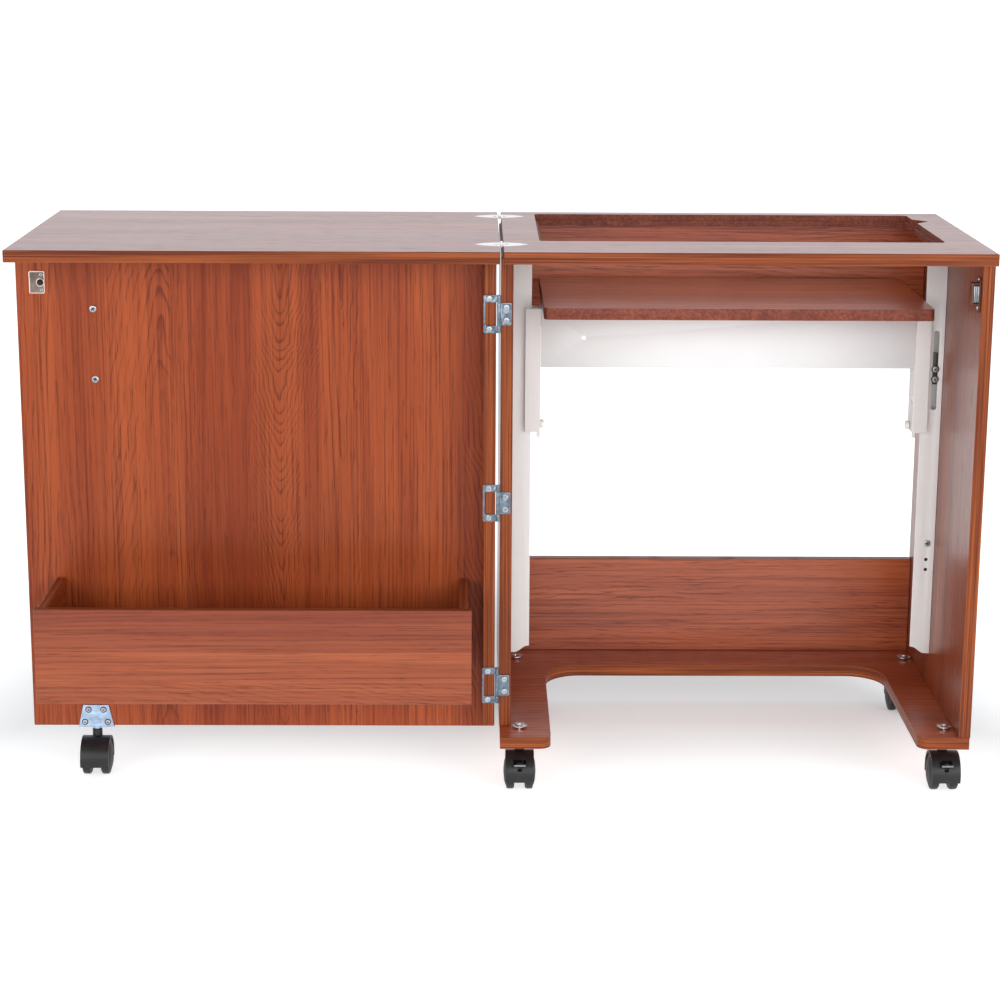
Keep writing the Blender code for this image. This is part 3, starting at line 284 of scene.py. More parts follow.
def cherry(name, face, grain, strips, sheen=0.0, contrast=1.0, depth=1.0, yellow=1.0, cut_box=None,
           sprayed_edge=False):
    """Laminate board: face is its thickness axis and grain the axis of its figure.

    sheen is its clear coat, contrast the strength of its figure, depth its brightness, which is painted
    light and shade for how much light reaches the board, and yellow its share of green. cut_box is a box
    of sprayed cut-out, and sprayed_edge has all the board's edges sprayed.
    """
    finish = Finish(name, coat=sheen, coat_roughness=0.28)
    axes = finish.axes()
    side = next(letter for letter in "XYZ" if letter not in (face, grain))
    deep = axes[face] * 3.0
    colour, rough, gloss, relief = wood_grain(finish, axes[side], axes[grain], deep, strips, contrast)
    # depth scales the colour as painted light and shade; yellow shifts its hue
    painted_light_and_hue = (depth, depth * yellow, depth * yellow * yellow)
    colour = finish.blend(1.0, colour, painted_light_and_hue, "MULTIPLY")
    paint, mottle = spray(finish)
    if sprayed_edge:
        band = paint
    else:
        band = edge_band(finish, axes[face], axes[grain] + axes[side])
    edge = 1.0 - finish.facing()[face].rise(0.6, 0.8)
    colour = finish.blend(edge, colour, band)
    relief = relief * (1.0 - edge)
    gloss = gloss * (1.0 - edge)
    if cut_box:
        low, high = cut_box
        inside = (high.z - axes["Z"]).over(0.0)
        for letter, start, end in (("X", low.x, high.x), ("Y", low.y, high.y)):
            inside = inside * (axes[letter] - start).over(0.0) * (end - axes[letter]).over(0.0)
        colour = finish.blend(inside, colour, paint)
        rough = rough + inside * 0.14
        gloss = gloss * (1.0 - inside)
        relief = relief * (1.0 - inside) + mottle * inside
    finish.set(Base_Color=colour, Roughness=rough, Specular_IOR_Level=0.2)
    if sheen:
        finish.set(Coat_Weight=gloss * sheen)
    finish.bump(relief, 0.12, 0.4 * MM)
    return finish.material


RIM = 8.1 * MM
NOTCH_REACH = 28.5 * MM
LAMINATE = 0.4 * MM
top_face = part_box("main_top")[1].z
plat_low, plat_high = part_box("machine_platform")
cut_low = Vector((plat_low.x - RIM, plat_low.y - RIM, plat_low.z))
cut_high = Vector((plat_high.x + NOTCH_REACH, plat_high.y + RIM, top_face - LAMINATE))

# Each board's depth is painted light and shade: lit boards darkened, boards deep in the cabinet brightened
door_wood = cherry("cherry_door", "Y", "Z", [
    Strip(-0.66, -0.600, 6.0, 120.0, -0.05),
    Strip(-0.525, -0.452, 21.0, 105.0, 0.02),
    Strip(-0.441, -0.600, 1.5, 165.0, -0.14),
    Strip(-0.333, -0.298, -48.0, 185.0, -0.04),
    Strip(-0.241, -0.213, -4.0, 130.0, 0.12),
    Strip(-0.187, 0.050, 2.0, 180.0, 0.08),
    Strip(-0.047, -0.012, -30.0, 150.0, -0.10),
], sheen=0.1, contrast=1.3, depth=0.94, yellow=0.94)
bin_wood = cherry("cherry_bin_front", "Y", "X", [
    Strip(0.15, 0.150, 16.0, 150.0, 0.05),
    Strip(0.183, 0.300, 1.5, 120.0, 0.20),
    Strip(0.225, 0.300, 2.0, 170.0, -0.15),
], sheen=0.47, contrast=1.05, depth=0.82)
back_wood = cherry("cherry_back_boards", "Y", "X", [
    Strip(0.08, 0.000, 2.0, 160.0, -0.05),
    Strip(0.165, 0.120, -9.0, 130.0, 0.12),
    Strip(0.60, 0.640, -6.0, 150.0, 0.0),
], sheen=0.85, contrast=1.5, depth=1.14)
rail_wood = cherry("cherry_upper_rail", "Y", "X", [
    Strip(0.55, 0.800, 5.0, 150.0, 0.05),
    Strip(0.655, 0.690, -14.0, 125.0, 0.10),
    Strip(0.70, 0.500, 2.5, 150.0, -0.05),
], sheen=0.85, contrast=2.2, depth=1.32)
side_wood = cherry("cherry_side_panels", "X", "Z", [
    Strip(-0.20, -0.150, -18.0, 150.0, 0.0),
    Strip(-0.09, 0.300, 2.0, 170.0, 0.10),
    Strip(0.02, 0.070, -30.0, 160.0, -0.10),
    Strip(0.13, 0.400, 3.0, 160.0, 0.05),
], sheen=0.46, depth=0.72)
leaf_wood = cherry("cherry_leaf", "Z", "X", [
    Strip(-0.20, -0.300, 2.0, 160.0, 0.05),
    Strip(-0.08, -0.030, -18.0, 150.0, -0.05),
    Strip(0.03, 0.300, 3.0, 170.0, 0.08),
    Strip(0.13, 0.170, 14.0, 140.0, 0.0),
], sheen=0.64)
top_wood = cherry("cherry_main_top", "Z", "X", [
    Strip(-0.20, -0.300, 2.0, 160.0, 0.05),
    Strip(-0.10, 0.300, -3.0, 150.0, 0.0),
    Strip(0.10, 0.200, 10.0, 150.0, 0.0),
], sheen=0.64, cut_box=(cut_low, cut_high))
base_wood = cherry("cherry_base", "Z", "X", [
    Strip(-0.20, -0.300, 2.0, 160.0, 0.0),
    Strip(0.08, 0.160, -12.0, 140.0, 0.0),
], sheen=0.7, contrast=1.5, depth=1.27)
platform_wood = cherry("cherry_platform", "Z", "X", [
    Strip(-0.10, -0.200, 3.0, 160.0, 0.0),
    Strip(0.06, 0.120, -14.0, 140.0, 0.1),
], sheen=1.0, depth=1.42, sprayed_edge=True)
bin_end_wood = cherry("cherry_bin_ends", "X", "Y", [
    Strip(0.10, 0.000, 3.0, 150.0, 0.0),
    Strip(0.22, 0.260, -12.0, 150.0, 0.1),
])


# Steel, plastic and rubber


def painted_steel(name, dark, light):
    """Off-white powder coat: faint orange peel and grime."""
    finish = Finish(name)
    peel = finish.noise(finish.object_place(), 900.0, 2.0)
    cloud = finish.noise(finish.object_place(), 9.0, 3.0)
    finish.set(Base_Color=finish.blend(cloud.swing(2.2, 0.42).held(), dark, light))
    finish.set(Roughness=0.52 + peel * 0.12, Specular_IOR_Level=0.3)
    finish.bump(peel, 0.08, 0.2 * MM)
    return finish.material


def zinc(name, dark, light, roughness, brush_axis="Z"):
    """Bright zinc plate: bluish clouds, and fine lines along the rolled sheet."""
    finish = Finish(name, metallic=1.0)
    turns = {letter: 60.0 if letter == brush_axis else 1600.0 for letter in "XYZ"}
    stretched = finish.vector(*(part * turns[letter] for letter, part in finish.axes().items()))
    rolled = finish.noise(stretched, 1.0, 2.0)
    cloud = finish.noise(finish.object_place(), 150.0, 3.0, 0.6)
    share = cloud.swing(2.0, 0.3).held()
    finish.set(Base_Color=finish.blend(share, dark, light))
    finish.set(Roughness=roughness + rolled.swing(0.18) + share * 0.06)
    finish.bump(rolled, 0.05, 0.1 * MM)
    return finish.material


def moulded(name, dark, light, roughness, grain=2200.0, bump=0.15):
    """Moulded plastic or rubber: fine spark-eroded grain, a little dust on it."""
    finish = Finish(name)
    texture = finish.noise(finish.object_place(), grain, 2.0)
    dust = finish.noise(finish.object_place(), 70.0, 4.0, 0.7).rise(0.45, 0.8)
    finish.set(Base_Color=finish.blend(dust, dark, light), Specular_IOR_Level=0.38)
    finish.set(Roughness=roughness + dust * 0.12 + texture.swing(0.12))
    finish.bump(texture, bump, 0.1 * MM)
    return finish.material


powder = painted_steel("white_powder_coat", (0.79, 0.778, 0.76), (0.85, 0.84, 0.825))
# the cross panel's copy of the white powder coat, made greyer as painted shade against the lamp light on it
shaded_panel_powder = painted_steel("white_powder_coat_painted_shade", (0.712, 0.72, 0.722), (0.752, 0.762, 0.764))
zinc_plate = zinc("zinc_plate", (0.30, 0.40, 0.54), (0.48, 0.61, 0.80), 0.34)
# a darker copy of the zinc for the door hinges: painted shade for the dim room that they reflect
hinge_zinc_painted_shade = zinc("hinge_zinc_painted_shade", (0.10, 0.13, 0.17), (0.27, 0.32, 0.38), 0.33)
nickel = zinc("polished_nickel", (0.62, 0.60, 0.58), (0.80, 0.79, 0.77), 0.22, "X")
screw_zinc = zinc("screw_zinc", (0.40, 0.42, 0.44), (0.64, 0.66, 0.68), 0.27, "X")
screw_shade = zinc("screw_shade", (0.03, 0.032, 0.034), (0.07, 0.073, 0.077), 0.5, "X")
nut_zinc = zinc("nut_zinc", (0.56, 0.58, 0.60), (0.84, 0.86, 0.88), 0.24, "X")
strike_steel = zinc("strike_steel", (0.13, 0.095, 0.085), (0.23, 0.175, 0.16), 0.40)
# light warm tone for the strike's rim and the bumper's collar: painted highlight and painted reflection of
# the wood
strike_rim_painted_reflection = zinc("strike_rim_painted_reflection", (0.70, 0.55, 0.50), (0.86, 0.72, 0.66), 0.30)
dull_steel = zinc("dull_steel", (0.26, 0.27, 0.28), (0.42, 0.43, 0.44), 0.38)
# near-black steel: the slot clamp's dark steel, which is partly painted shade of the slot, and painted shade
# on the strap's sunk hole floors
dark_steel_and_shade = zinc("dark_steel_and_shade", (0.045, 0.048, 0.038), (0.10, 0.105, 0.085), 0.45)
black_plastic = moulded("black_nylon", (0.010, 0.010, 0.011), (0.022, 0.022, 0.024), 0.42)
tread_plastic = moulded("black_tread", (0.008, 0.008, 0.009), (0.03, 0.03, 0.032), 0.5)
# lighter grey plastic for the brake tab's front lip: painted highlight where the lip faces the light
lip_highlight_plastic = moulded("brake_tab_lip_painted_highlight", (0.20, 0.20, 0.205), (0.30, 0.30, 0.305), 0.35)
brown_plastic = moulded("brown_plastic", (0.13, 0.042, 0.024), (0.18, 0.066, 0.040), 0.45)
# dark brown for the rail's spare holes: painted shade, and the wood seen behind them
hole_shade_brown = moulded("spare_hole_shade", (0.030, 0.008, 0.005), (0.11, 0.030, 0.018), 0.5)
magnet_grey = moulded("magnet_grey", (0.13, 0.135, 0.145), (0.20, 0.21, 0.22), 0.5)
rubber = moulded("black_rubber", (0.007, 0.007, 0.007), (0.02, 0.02, 0.02), 0.6)
nylon = moulded("white_nylon", (0.80, 0.78, 0.76), (0.70, 0.67, 0.64), 0.45, 1500.0, 0.08)


# CAD nodes that keep their own shape

NODE_FINISHES = {
    "door_panel": door_wood,
    "door_hinge_board": side_wood,
    "bin_front": bin_wood,
    "bin_left_end": bin_end_wood,
    "bin_right_end": bin_end_wood,
    "bin_bottom": base_wood,
    "left_side_panel": side_wood,
    "right_side_panel": side_wood,
    "upper_back_rail": rail_wood,
    "lower_back_panel": back_wood,
    "base_panel": base_wood,
    "main_top": top_wood,
    "folding_leaf": leaf_wood,
    "front_leaf_hinge_fixed_plate": nickel,
    "rear_leaf_hinge_fixed_plate": nickel,
    "front_leaf_hinge_moving_plate": nickel,
    "rear_leaf_hinge_moving_plate": nickel,
}
for node, material in NODE_FINISHES.items():
    nodes[node].data.materials.clear()
    nodes[node].data.materials.append(material)


# Modelling steps

SMOOTH_ANGLE = 38.0


def clear_choice():
    """Leaves edit mode and selects nothing."""
    if bpy.context.object and bpy.context.object.mode == "EDIT":
        bpy.ops.object.mode_set(mode="OBJECT")
    bpy.ops.object.select_all(action="DESELECT")


def hold(piece):
    """Makes one piece the only selected and active one."""
    clear_choice()
    piece.select_set(True)
    bpy.context.view_layer.objects.active = piece


def edit(piece):
    hold(piece)
    bpy.ops.object.mode_set(mode="EDIT")


def done():
    bpy.ops.object.mode_set(mode="OBJECT")


def pick(kind, test):
    """In edit mode, selects the faces, edges or vertices that pass a test."""
    bpy.ops.mesh.select_mode(type=kind)
    bpy.ops.mesh.select_all(action="DESELECT")
    mesh = bpy.context.object.data
    shape = bmesh.from_edit_mesh(mesh)
    for item in {"FACE": shape.faces, "EDGE": shape.edges, "VERT": shape.verts}[kind]:
        item.select_set(bool(test(item)))
    bmesh.update_edit_mesh(mesh)


def runs(edge, axis):
    """Whether an edge runs along an axis."""
    start, end = (getattr(vert.co, axis) for vert in edge.verts)
    return abs(start - end) > 0.1 * MM


def lies_at(edge, x):
    """Whether an edge lies at one place across the object."""
    return all(abs(vert.co.x - x) < 0.01 * MM for vert in edge.verts)


def round_edges(piece, test, width, segments):
    """Rounds the edges that pass a test."""
    edit(piece)
    pick("EDGE", test)
    bpy.ops.mesh.bevel(offset=width, segments=segments, affect="EDGES")
    done()
    return piece


def inset_faces(piece, test, steps):
    """Insets the faces that pass a test, at each step by a thickness and a depth in mm."""
    edit(piece)
    pick("FACE", test)
    for thickness, depth in steps:
        bpy.ops.mesh.inset(thickness=thickness * MM, depth=depth * MM)
    done()


def block(low, high):
    """A box between two corners."""
    clear_choice()
    low, high = Vector(low), Vector(high)
    bpy.ops.mesh.primitive_cube_add(size=1.0, location=(low + high) / 2, scale=high - low)
    bpy.ops.object.transform_apply(location=True, rotation=True, scale=True)
    return bpy.context.object


def even_block(half, front, back, low, high):
    """A box that reaches as far to the left of the middle as to the right."""
    return block((-half, front, low), (half, back, high))


def rod(start, end, radius, sides=32):
    """A round bar between two points."""
    clear_choice()
    start, end = Vector(start), Vector(end)
    run = end - start
    turn = run.to_track_quat("Z", "Y").to_euler()
    bpy.ops.mesh.primitive_cylinder_add(vertices=sides, radius=radius, depth=run.length,
                                        location=(start + end) / 2, rotation=turn)
    bpy.ops.object.transform_apply(location=True, rotation=True, scale=True)
    return bpy.context.object


def front_rod(x, z, start, end, radius, sides=32):
    """A round bar along Y."""
    return rod((x, start, z), (x, end, z), radius, sides)


def post(start, end, radius, sides=32, y=0.0):
    """An upright round bar in the middle plane."""
    return rod((0, y, start), (0, y, end), radius, sides)


def discard(*pieces):
    for piece in pieces:
        bpy.data.objects.remove(piece, do_unlink=True)


def carve(piece, tool, operation="DIFFERENCE"):
    """Cuts one piece with another, or joins them, and clears the tool away."""
    cut = piece.modifiers.new("carve", "BOOLEAN")
    cut.operation = operation
    cut.solver = "EXACT"
    cut.object = tool
    hold(piece)
    bpy.ops.object.modifier_apply(modifier="carve")
    discard(tool)


def smooth(piece, angle=SMOOTH_ANGLE):
    hold(piece)
    bpy.ops.object.shade_smooth_by_angle(angle=math.radians(angle))
    return piece


def ease(piece, width, segments=2, angle=35.0):
    """Rounds a piece's corners."""
    hold(piece)
    bevel = piece.modifiers.new("ease", "BEVEL")
    bevel.width = width
    bevel.segments = segments
    bevel.limit_method = "ANGLE"
    bevel.angle_limit = math.radians(angle)
    bevel.use_clamp_overlap = True
    bpy.ops.object.modifier_apply(modifier="ease")
    return smooth(piece)


def merge(pieces):
    """Joins pieces into the first one."""
    clear_choice()
    for piece in pieces:
        piece.select_set(True)
    bpy.context.view_layer.objects.active = pieces[0]
    bpy.ops.object.join()
    return pieces[0]


def copy_of(piece, matrix):
    """A copy with its own mesh, moved by a matrix that is applied to it."""
    copy = piece.copy()
    copy.data = piece.data.copy()
    copy.data.transform(matrix)
    bpy.context.scene.collection.objects.link(copy)
    return copy


def two_tone(piece, main, other, test):
    """Gives a piece one finish, and another one on the faces that pass a test."""
    piece.data.materials.clear()
    piece.data.materials.append(main)
    piece.data.materials.append(other)
    for face in piece.data.polygons:
        face.material_index = 1 if test(face) else 0


def fit(piece, name, body, material, slot, *replaced):
    """Names a finished piece, gives it its finish unless it has its own, and fixes it to a body."""
    piece.name = name
    piece.data.name = name
    if material:
        piece.data.materials.clear()
        piece.data.materials.append(material)
    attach(piece, body)
    if replaced:
        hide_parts(*replaced)


def merged_copy(node):
    """A copy of a CAD node with its triangles merged into whole faces."""
    piece = bpy.data.objects.new(node + "_eased", nodes[node].data.copy())
    bpy.context.scene.collection.objects.link(piece)
    edit(piece)
    bpy.ops.mesh.select_all(action="SELECT")
    bpy.ops.mesh.remove_doubles(threshold=0.01 * MM)
    bpy.ops.mesh.dissolve_limited(angle_limit=math.radians(2))
    done()
    bpy.ops.mesh.customdata_custom_splitnormals_clear()
    return piece


def refine(node, body, material, slot, width, segments=2):
    """A CAD node's shape with its corners rounded, in place of the node."""
    piece = ease(merged_copy(node), width, segments)
    fit(piece, node + "_eased", body, material, slot, node)


def turn_to(direction):
    """Turns +Z to a direction."""
    return Vector(direction).to_track_quat("Z", "Y").to_matrix().to_4x4()


# Screws

TWIST = 1.02


def cross_screw(radius, height, dome):
    """A cross-slot screw head on Z = 0, pointing up, with its slot in shade."""
    arm = radius * 0.58
    slit = radius * 0.13
    floor = height - radius * 0.3
    rim = height - radius * 0.1
    head = post(-height, height, radius, 28)
    round_edges(head, lambda edge: all(vert.co.z > height / 2 for vert in edge.verts), dome, 4)
    carve(head, block((-arm, -slit, floor), (arm, slit, height * 2)))
    carve(head, block((-slit, -arm, floor), (slit, arm, height * 2)))
    two_tone(head, screw_zinc, screw_shade,
             lambda face: face.center.xy.length < arm and 0 < face.center.z < rim)
    return smooth(head)


pan_head = cross_screw(3.4 * MM, 1.5 * MM, 1.1 * MM)
flush_head = cross_screw(3.9 * MM, 1.1 * MM, 0.45 * MM)
big_head = cross_screw(4.9 * MM, 2.0 * MM, 1.3 * MM)
strike_head = cross_screw(2.3 * MM, 1.2 * MM, 0.9 * MM)
slot_head = cross_screw(4.2 * MM, 2.2 * MM, 1.3 * MM)
small_head = cross_screw(2.3 * MM, 0.7 * MM, 0.3 * MM)


def screws(name, body, head, places, direction):
    """A set of screw heads on one body, each turned a little further than the last."""
    made = []
    for index, place in enumerate(places):
        spin = Matrix.Rotation(TWIST * (index + 1), 4, "Z")
        made.append(copy_of(head, Matrix.Translation(place) @ turn_to(direction) @ spin))
    fit(merge(made), name, body, None, "zinc_steel")


# Door hinges

LEAF_FRONT = 0.8 * MM
LEAF_BACK = 0.9 * MM
BARREL = 2.4 * MM
PIN = 1.2 * MM
SCREW_HOLE = 4.05 * MM
SCREW_SINK = 0.9 * MM


def hinge_leaf(node, body, outer, screw_x, screw_rise, window=None):
    """One leaf of a nesting hinge: a plate with rounded corners and screw holes, and its rolled barrel.

    The door's leaf has a window that the other leaf nests in, and the pin. Returns the places of the screws.
    """
    low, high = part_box(node)
    centre = (low.z + high.z) / 2
    axis_y = (low.y + high.y) / 2
    front = axis_y - LEAF_FRONT
    back = axis_y + LEAF_BACK

    def outer_corner(edge):
        return runs(edge, "y") and lies_at(edge, outer)

    def window_corner(edge):
        return runs(edge, "y") and all(vert.co.x < -MM for vert in edge.verts)

    plate = block((min(outer, 0), front, low.z), (max(outer, 0), back, high.z))
    round_edges(plate, outer_corner, 2.0 * MM, 5)
    rolls = [(low.z, high.z)]
    if window:
        width, height = window
        gap = block((-width, front - MM, centre - height), (5 * MM, back + MM, centre + height))
        carve(plate, round_edges(gap, window_corner, 1.6 * MM, 5))
        rolls = [(low.z, centre - height), (centre + height, high.z)]
    heights = (centre - screw_rise, centre + screw_rise)
    for z in heights:
        carve(plate, front_rod(screw_x, z, front - MM, back + MM, SCREW_HOLE, 28))
    made = [ease(plate, 0.35 * MM)]
    for start, end in rolls:
        made.append(ease(post(start, end, BARREL, y=axis_y), 0.5 * MM))
    if window:
        made.append(smooth(post(low.z + MM, high.z - MM, PIN, 20, axis_y)))
    fit(merge(made), node + "_rolled", body, hinge_zinc_painted_shade, "zinc_steel", node)
    return [(screw_x, front + SCREW_SINK, z) for z in heights]


door_screws = []
cabinet_screws = []
for level in ("upper", "middle", "lower"):
    door_screws += hinge_leaf(level + "_hinge_door_leaf", "door", outer=-20.4 * MM, screw_x=-12.4 * MM,
                              screw_rise=20.3 * MM, window=(17.8 * MM, 15.6 * MM))
    cabinet_screws += hinge_leaf(level + "_hinge_cabinet_leaf", "cabinet", outer=17.2 * MM, screw_x=10.2 * MM,
                                 screw_rise=8.8 * MM)
screws("door_hinge_screws", "door", flush_head, door_screws, FORWARD)
screws("cabinet_hinge_screws", "cabinet", flush_head, cabinet_screws, FORWARD)


# Leaf hinge screws

LEAF_PIN_X = 3.2 * MM
OVAL_SCREW_REACH = 6.9 * MM
OVAL_SCREW_SINK = 0.45 * MM


def oval_screw(node, side):
    """The place of the flush screw near the knuckles of one oval plate."""
    low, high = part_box(node)
    return LEAF_PIN_X + side * OVAL_SCREW_REACH, (low.y + high.y) / 2, top_face - OVAL_SCREW_SINK


for plate, body, side in (("fixed", "cabinet", 1), ("moving", "leaf", -1)):
    places = [oval_screw(f"{end}_leaf_hinge_{plate}_plate", side) for end in ("front", "rear")]
    screws(f"leaf_hinge_{plate}_screws", body, small_head, places, UP)


# Machine lift


def carriage(side):
    """A sliding carriage, with the round access hole in its web."""
    node = side + "_lift_carriage"
    low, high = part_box(node)
    inner = high.x if side == "left" else low.x
    hole = Vector((inner, low.y + 10.8 * MM, low.z + 54.5 * MM))
    reach = Vector((6 * MM, 0, 0))
    piece = merged_copy(node)
    carve(piece, rod(hole - reach, hole + reach, 6.2 * MM, 40))
    ease(piece, 0.7 * MM, 3)
    fit(piece, node + "_eased", "lift", powder, "white_painted_steel", node)


for side in ("left", "right"):
    refine(side + "_lift_rail", "cabinet", powder, "white_painted_steel", 0.7 * MM, 3)
    carriage(side)
    refine(side + "_platform_bracket", "lift", zinc_plate, "zinc_steel", 0.5 * MM)
    refine(side + "_carriage_pin", "lift", nylon, "white_nylon", 1.4 * MM, 4)
    refine(side + "_upper_glide", "lift", nylon, "white_nylon", 0.5 * MM)
    refine(side + "_lower_glide", "lift", nylon, "white_nylon", 0.5 * MM)
refine("lift_cross_panel", "lift", shaded_panel_powder, "white_painted_steel", 0.6 * MM)
refine("machine_platform", "lift", platform_wood, "cherry_laminate", 0.9 * MM, 3)

stop_low, stop_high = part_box("lift_stop_screw")
stop = (stop_low + stop_high) / 2
rail_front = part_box("right_lift_rail")[0].y
SLOT_SCREWS = (553.0 * MM, 538.5 * MM)
CLAMP_LOW = 531 * MM
CLAMP_HIGH = 577 * MM
CLAMP_HALF = 3.4 * MM
HOLE_DROPS = (24 * MM, 39 * MM)


def stop_bolt():
    """The bolt that ends the lift's travel: a cross-slot head on its shank."""
    place = Matrix.Translation((stop.x, rail_front - 0.5 * MM, stop.z))
    head = copy_of(big_head, place @ turn_to(FORWARD))
    shank = smooth(front_rod(stop.x, stop.z, rail_front, stop_high.y, 2.9 * MM, 20))
    shank.data.materials.append(screw_zinc)
    fit(merge([head, shank]), "lift_stop_bolt", "cabinet", None, "zinc_steel", "lift_stop_screw")


def slot_clamp():
    """Two screws on washers in the rail's slot, and the bar that they clamp behind it."""
    screws("slot_screws", "cabinet", slot_head, [(stop.x, rail_front - MM, z) for z in SLOT_SCREWS], FORWARD)
    made = []
    for z in SLOT_SCREWS:
        washer = front_rod(stop.x, z, rail_front - 0.1 * MM, rail_front - 1.2 * MM, 5.6 * MM, 40)
        made.append(ease(washer, 0.3 * MM))
    bar = block((stop.x - CLAMP_HALF, rail_front + 0.6 * MM, CLAMP_LOW),
                (stop.x + CLAMP_HALF, rail_front + 1.9 * MM, CLAMP_HIGH))
    made.append(ease(bar, 0.4 * MM))
    # the bar and washers are near-black: dark steel that also stands for the slot's shade, partly painted
    # shade
    fit(merge(made), "slot_clamp", "cabinet", dark_steel_and_shade, "zinc_steel")


def hole_shade_discs():
    """Dark brown discs sunk in the rail's two spare holes: painted shade of the holes and of the wood seen
    through them.
    """
    made = []
    for drop in HOLE_DROPS:
        shade_disc = front_rod(stop.x, stop.z - drop, rail_front + 0.5 * MM, rail_front + 1.8 * MM, 2.5 * MM, 28)
        inset_faces(shade_disc, lambda face: face.normal.y < -0.9, ((0.7, 0.0), (0.3, -0.5)))
        made.append(smooth(shade_disc))
    fit(merge(made), "rail_hole_painted_shade", "cabinet", hole_shade_brown, "black_plastic")


def bracket_screws(side, face):
    """Two screws on the inner face of a platform bracket."""
    low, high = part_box(side + "_platform_bracket")
    inner = (low.x if face > 0 else high.x) + face * 2.2 * MM
    places = [(inner, low.y + (high.y - low.y) * share, low.z + 11 * MM) for share in (0.28, 0.72)]
    screws(side + "_bracket_screws", "lift", pan_head, places, (face, 0, 0))


stop_bolt()
slot_clamp()
hole_shade_discs()
bracket_screws("left", 1)
bracket_screws("right", -1)


# Strike, catch and handle


def strike_plate():
    """The strike: a rounded plate with a sunk middle, and a rim in a light warm tone that is painted
    highlight and reflection.
    """
    low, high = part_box("strike_plate")
    front = low.y + 0.1 * MM
    plate = round_edges(block(low, high), lambda edge: runs(edge, "y"), 2.2 * MM, 5)
    inset_faces(plate, lambda face: face.calc_center_median().y < front, ((1.1, 0.0), (0.3, -0.5)))
    # the rim takes the painted highlight and reflection; the sunk middle keeps the plate's own tone
    two_tone(plate, strike_rim_painted_reflection, strike_steel, lambda face: face.center.y > front and face.normal.y < -0.9)
    fit(ease(plate, 0.2 * MM), "strike_plate_rounded", "door", None, "zinc_steel", "strike_plate")


def strike_bumper():
    """The domed rubber bumper in its collar, and the strike's two screws."""
    plate_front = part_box("strike_plate")[0].y
    low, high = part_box("strike_bumper")
    x = (low.x + high.x) / 2
    z = (low.z + high.z) / 2
    bumper = front_rod(x, z, high.y, low.y, 4 * MM)
    round_edges(bumper, lambda edge: all(vert.co.y < low.y + 0.1 * MM for vert in edge.verts), 1.6 * MM, 5)
    fit(smooth(bumper, 60), "strike_bumper_domed", "door", rubber, "black_rubber", "strike_bumper")
    collar = front_rod(x, z, plate_front + 0.6 * MM, plate_front - 0.7 * MM, 5.6 * MM, 40)
    carve(collar, front_rod(x, z, plate_front + 9 * MM, plate_front - 9 * MM, 4.1 * MM, 40))
    # the collar's light warm tone is painted reflection of the wood
    fit(ease(collar, 0.5 * MM, 3), "strike_collar", "door", strike_rim_painted_reflection, "zinc_steel")
    places = [(x + 1.4 * MM, plate_front + 0.4 * MM, z + rise * MM) for rise in (10.2, -10.2)]
    screws("strike_screws", "door", strike_head, places, FORWARD)


def magnet_catch():
    """The catch: a shell on a wing, with magnets between steel poles in its pocket, and two screws."""
    low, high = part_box("magnet_catch")
    middle = (low.z + high.z) / 2 + 2.0 * MM
    shell_half = 14.2 * MM
    magnet_half = 10.6 * MM
    wing_x = high.x - 2.2 * MM

    def inner(start, end, front, back, half):
        """A box in the catch, in mm from its lowest corner across and in depth."""
        return block((low.x + start * MM, low.y + front * MM, middle - half),
                     (low.x + end * MM, low.y + back * MM, middle + half))

    shell = block((low.x + 1.6 * MM, low.y + 0.9 * MM, middle - shell_half),
                  (high.x, high.y, middle + shell_half))
    ease(shell, 1.0 * MM, 3)
    carve(shell, inner(3.4, 11.8, -1, 9, 13.1 * MM))
    wing = block((wing_x, low.y + 3 * MM, low.z), high)
    ease(round_edges(wing, lambda edge: runs(edge, "x"), 5 * MM, 6), 0.5 * MM)
    fit(merge([shell, wing]), "catch_body", "cabinet", brown_plastic, "black_plastic", "magnet_catch")
    poles = [ease(inner(start, end, front, 8, magnet_half), 0.25 * MM)
             for start, end, front in ((4.2, 5.5, 0.0), (9.6, 10.9, 0.0), (6.9, 7.8, 0.25))]
    fit(merge(poles), "catch_poles", "cabinet", dull_steel, "zinc_steel")
    magnets = [ease(inner(start, end, 0.6, 8, magnet_half), 0.2 * MM)
               for start, end in ((5.6, 6.8), (7.9, 9.5))]
    fit(merge(magnets), "catch_magnet", "cabinet", magnet_grey, "zinc_steel")
    pocket = ease(inner(3.5, 11.7, 3, 8.9, 13.0 * MM), 0.2 * MM)
    fit(pocket, "catch_pocket", "cabinet", rubber, "black_plastic")
    places = [(wing_x, low.y + 11 * MM, middle + rise * MM) for rise in (18.6, -18.6)]
    screws("catch_screws", "cabinet", pan_head, places, (-1, 0, 0))


def caster_strap():
    """The bracket of the door's caster, with four sunk screws."""
    low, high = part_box("door_caster_bracket")
    middle = (low.x + high.x) / 2
    sink = Vector((0, 0.9 * MM, 0))
    hole = 4.5 * MM
    places = [Vector((middle + x * MM, low.y, low.z + z * MM))
              for x, z in ((-10.4, 25.2), (10.4, 25.2), (-15.8, 7.2), (15.8, 7.2))]
    strap = merged_copy("door_caster_bracket")
    for place in places:
        carve(strap, rod(place - sink, place + sink, hole, 36))
    ease(strap, 0.4 * MM)

    def in_shaded_hole_floor(face):
        reach = min((face.center - place).xz.length for place in places)
        return reach < hole - 0.1 * MM and 0.2 * MM < face.center.y - low.y < 1.2 * MM

    # the floors of the sunk holes take near-black steel as painted shade, a dark ring round each screw
    two_tone(strap, zinc_plate, dark_steel_and_shade, in_shaded_hole_floor)
    fit(strap, "door_caster_bracket_eased", "door", None, "zinc_steel", "door_caster_bracket")
    screws("strap_screws", "door", pan_head, [place + sink * 0.6 for place in places], FORWARD)


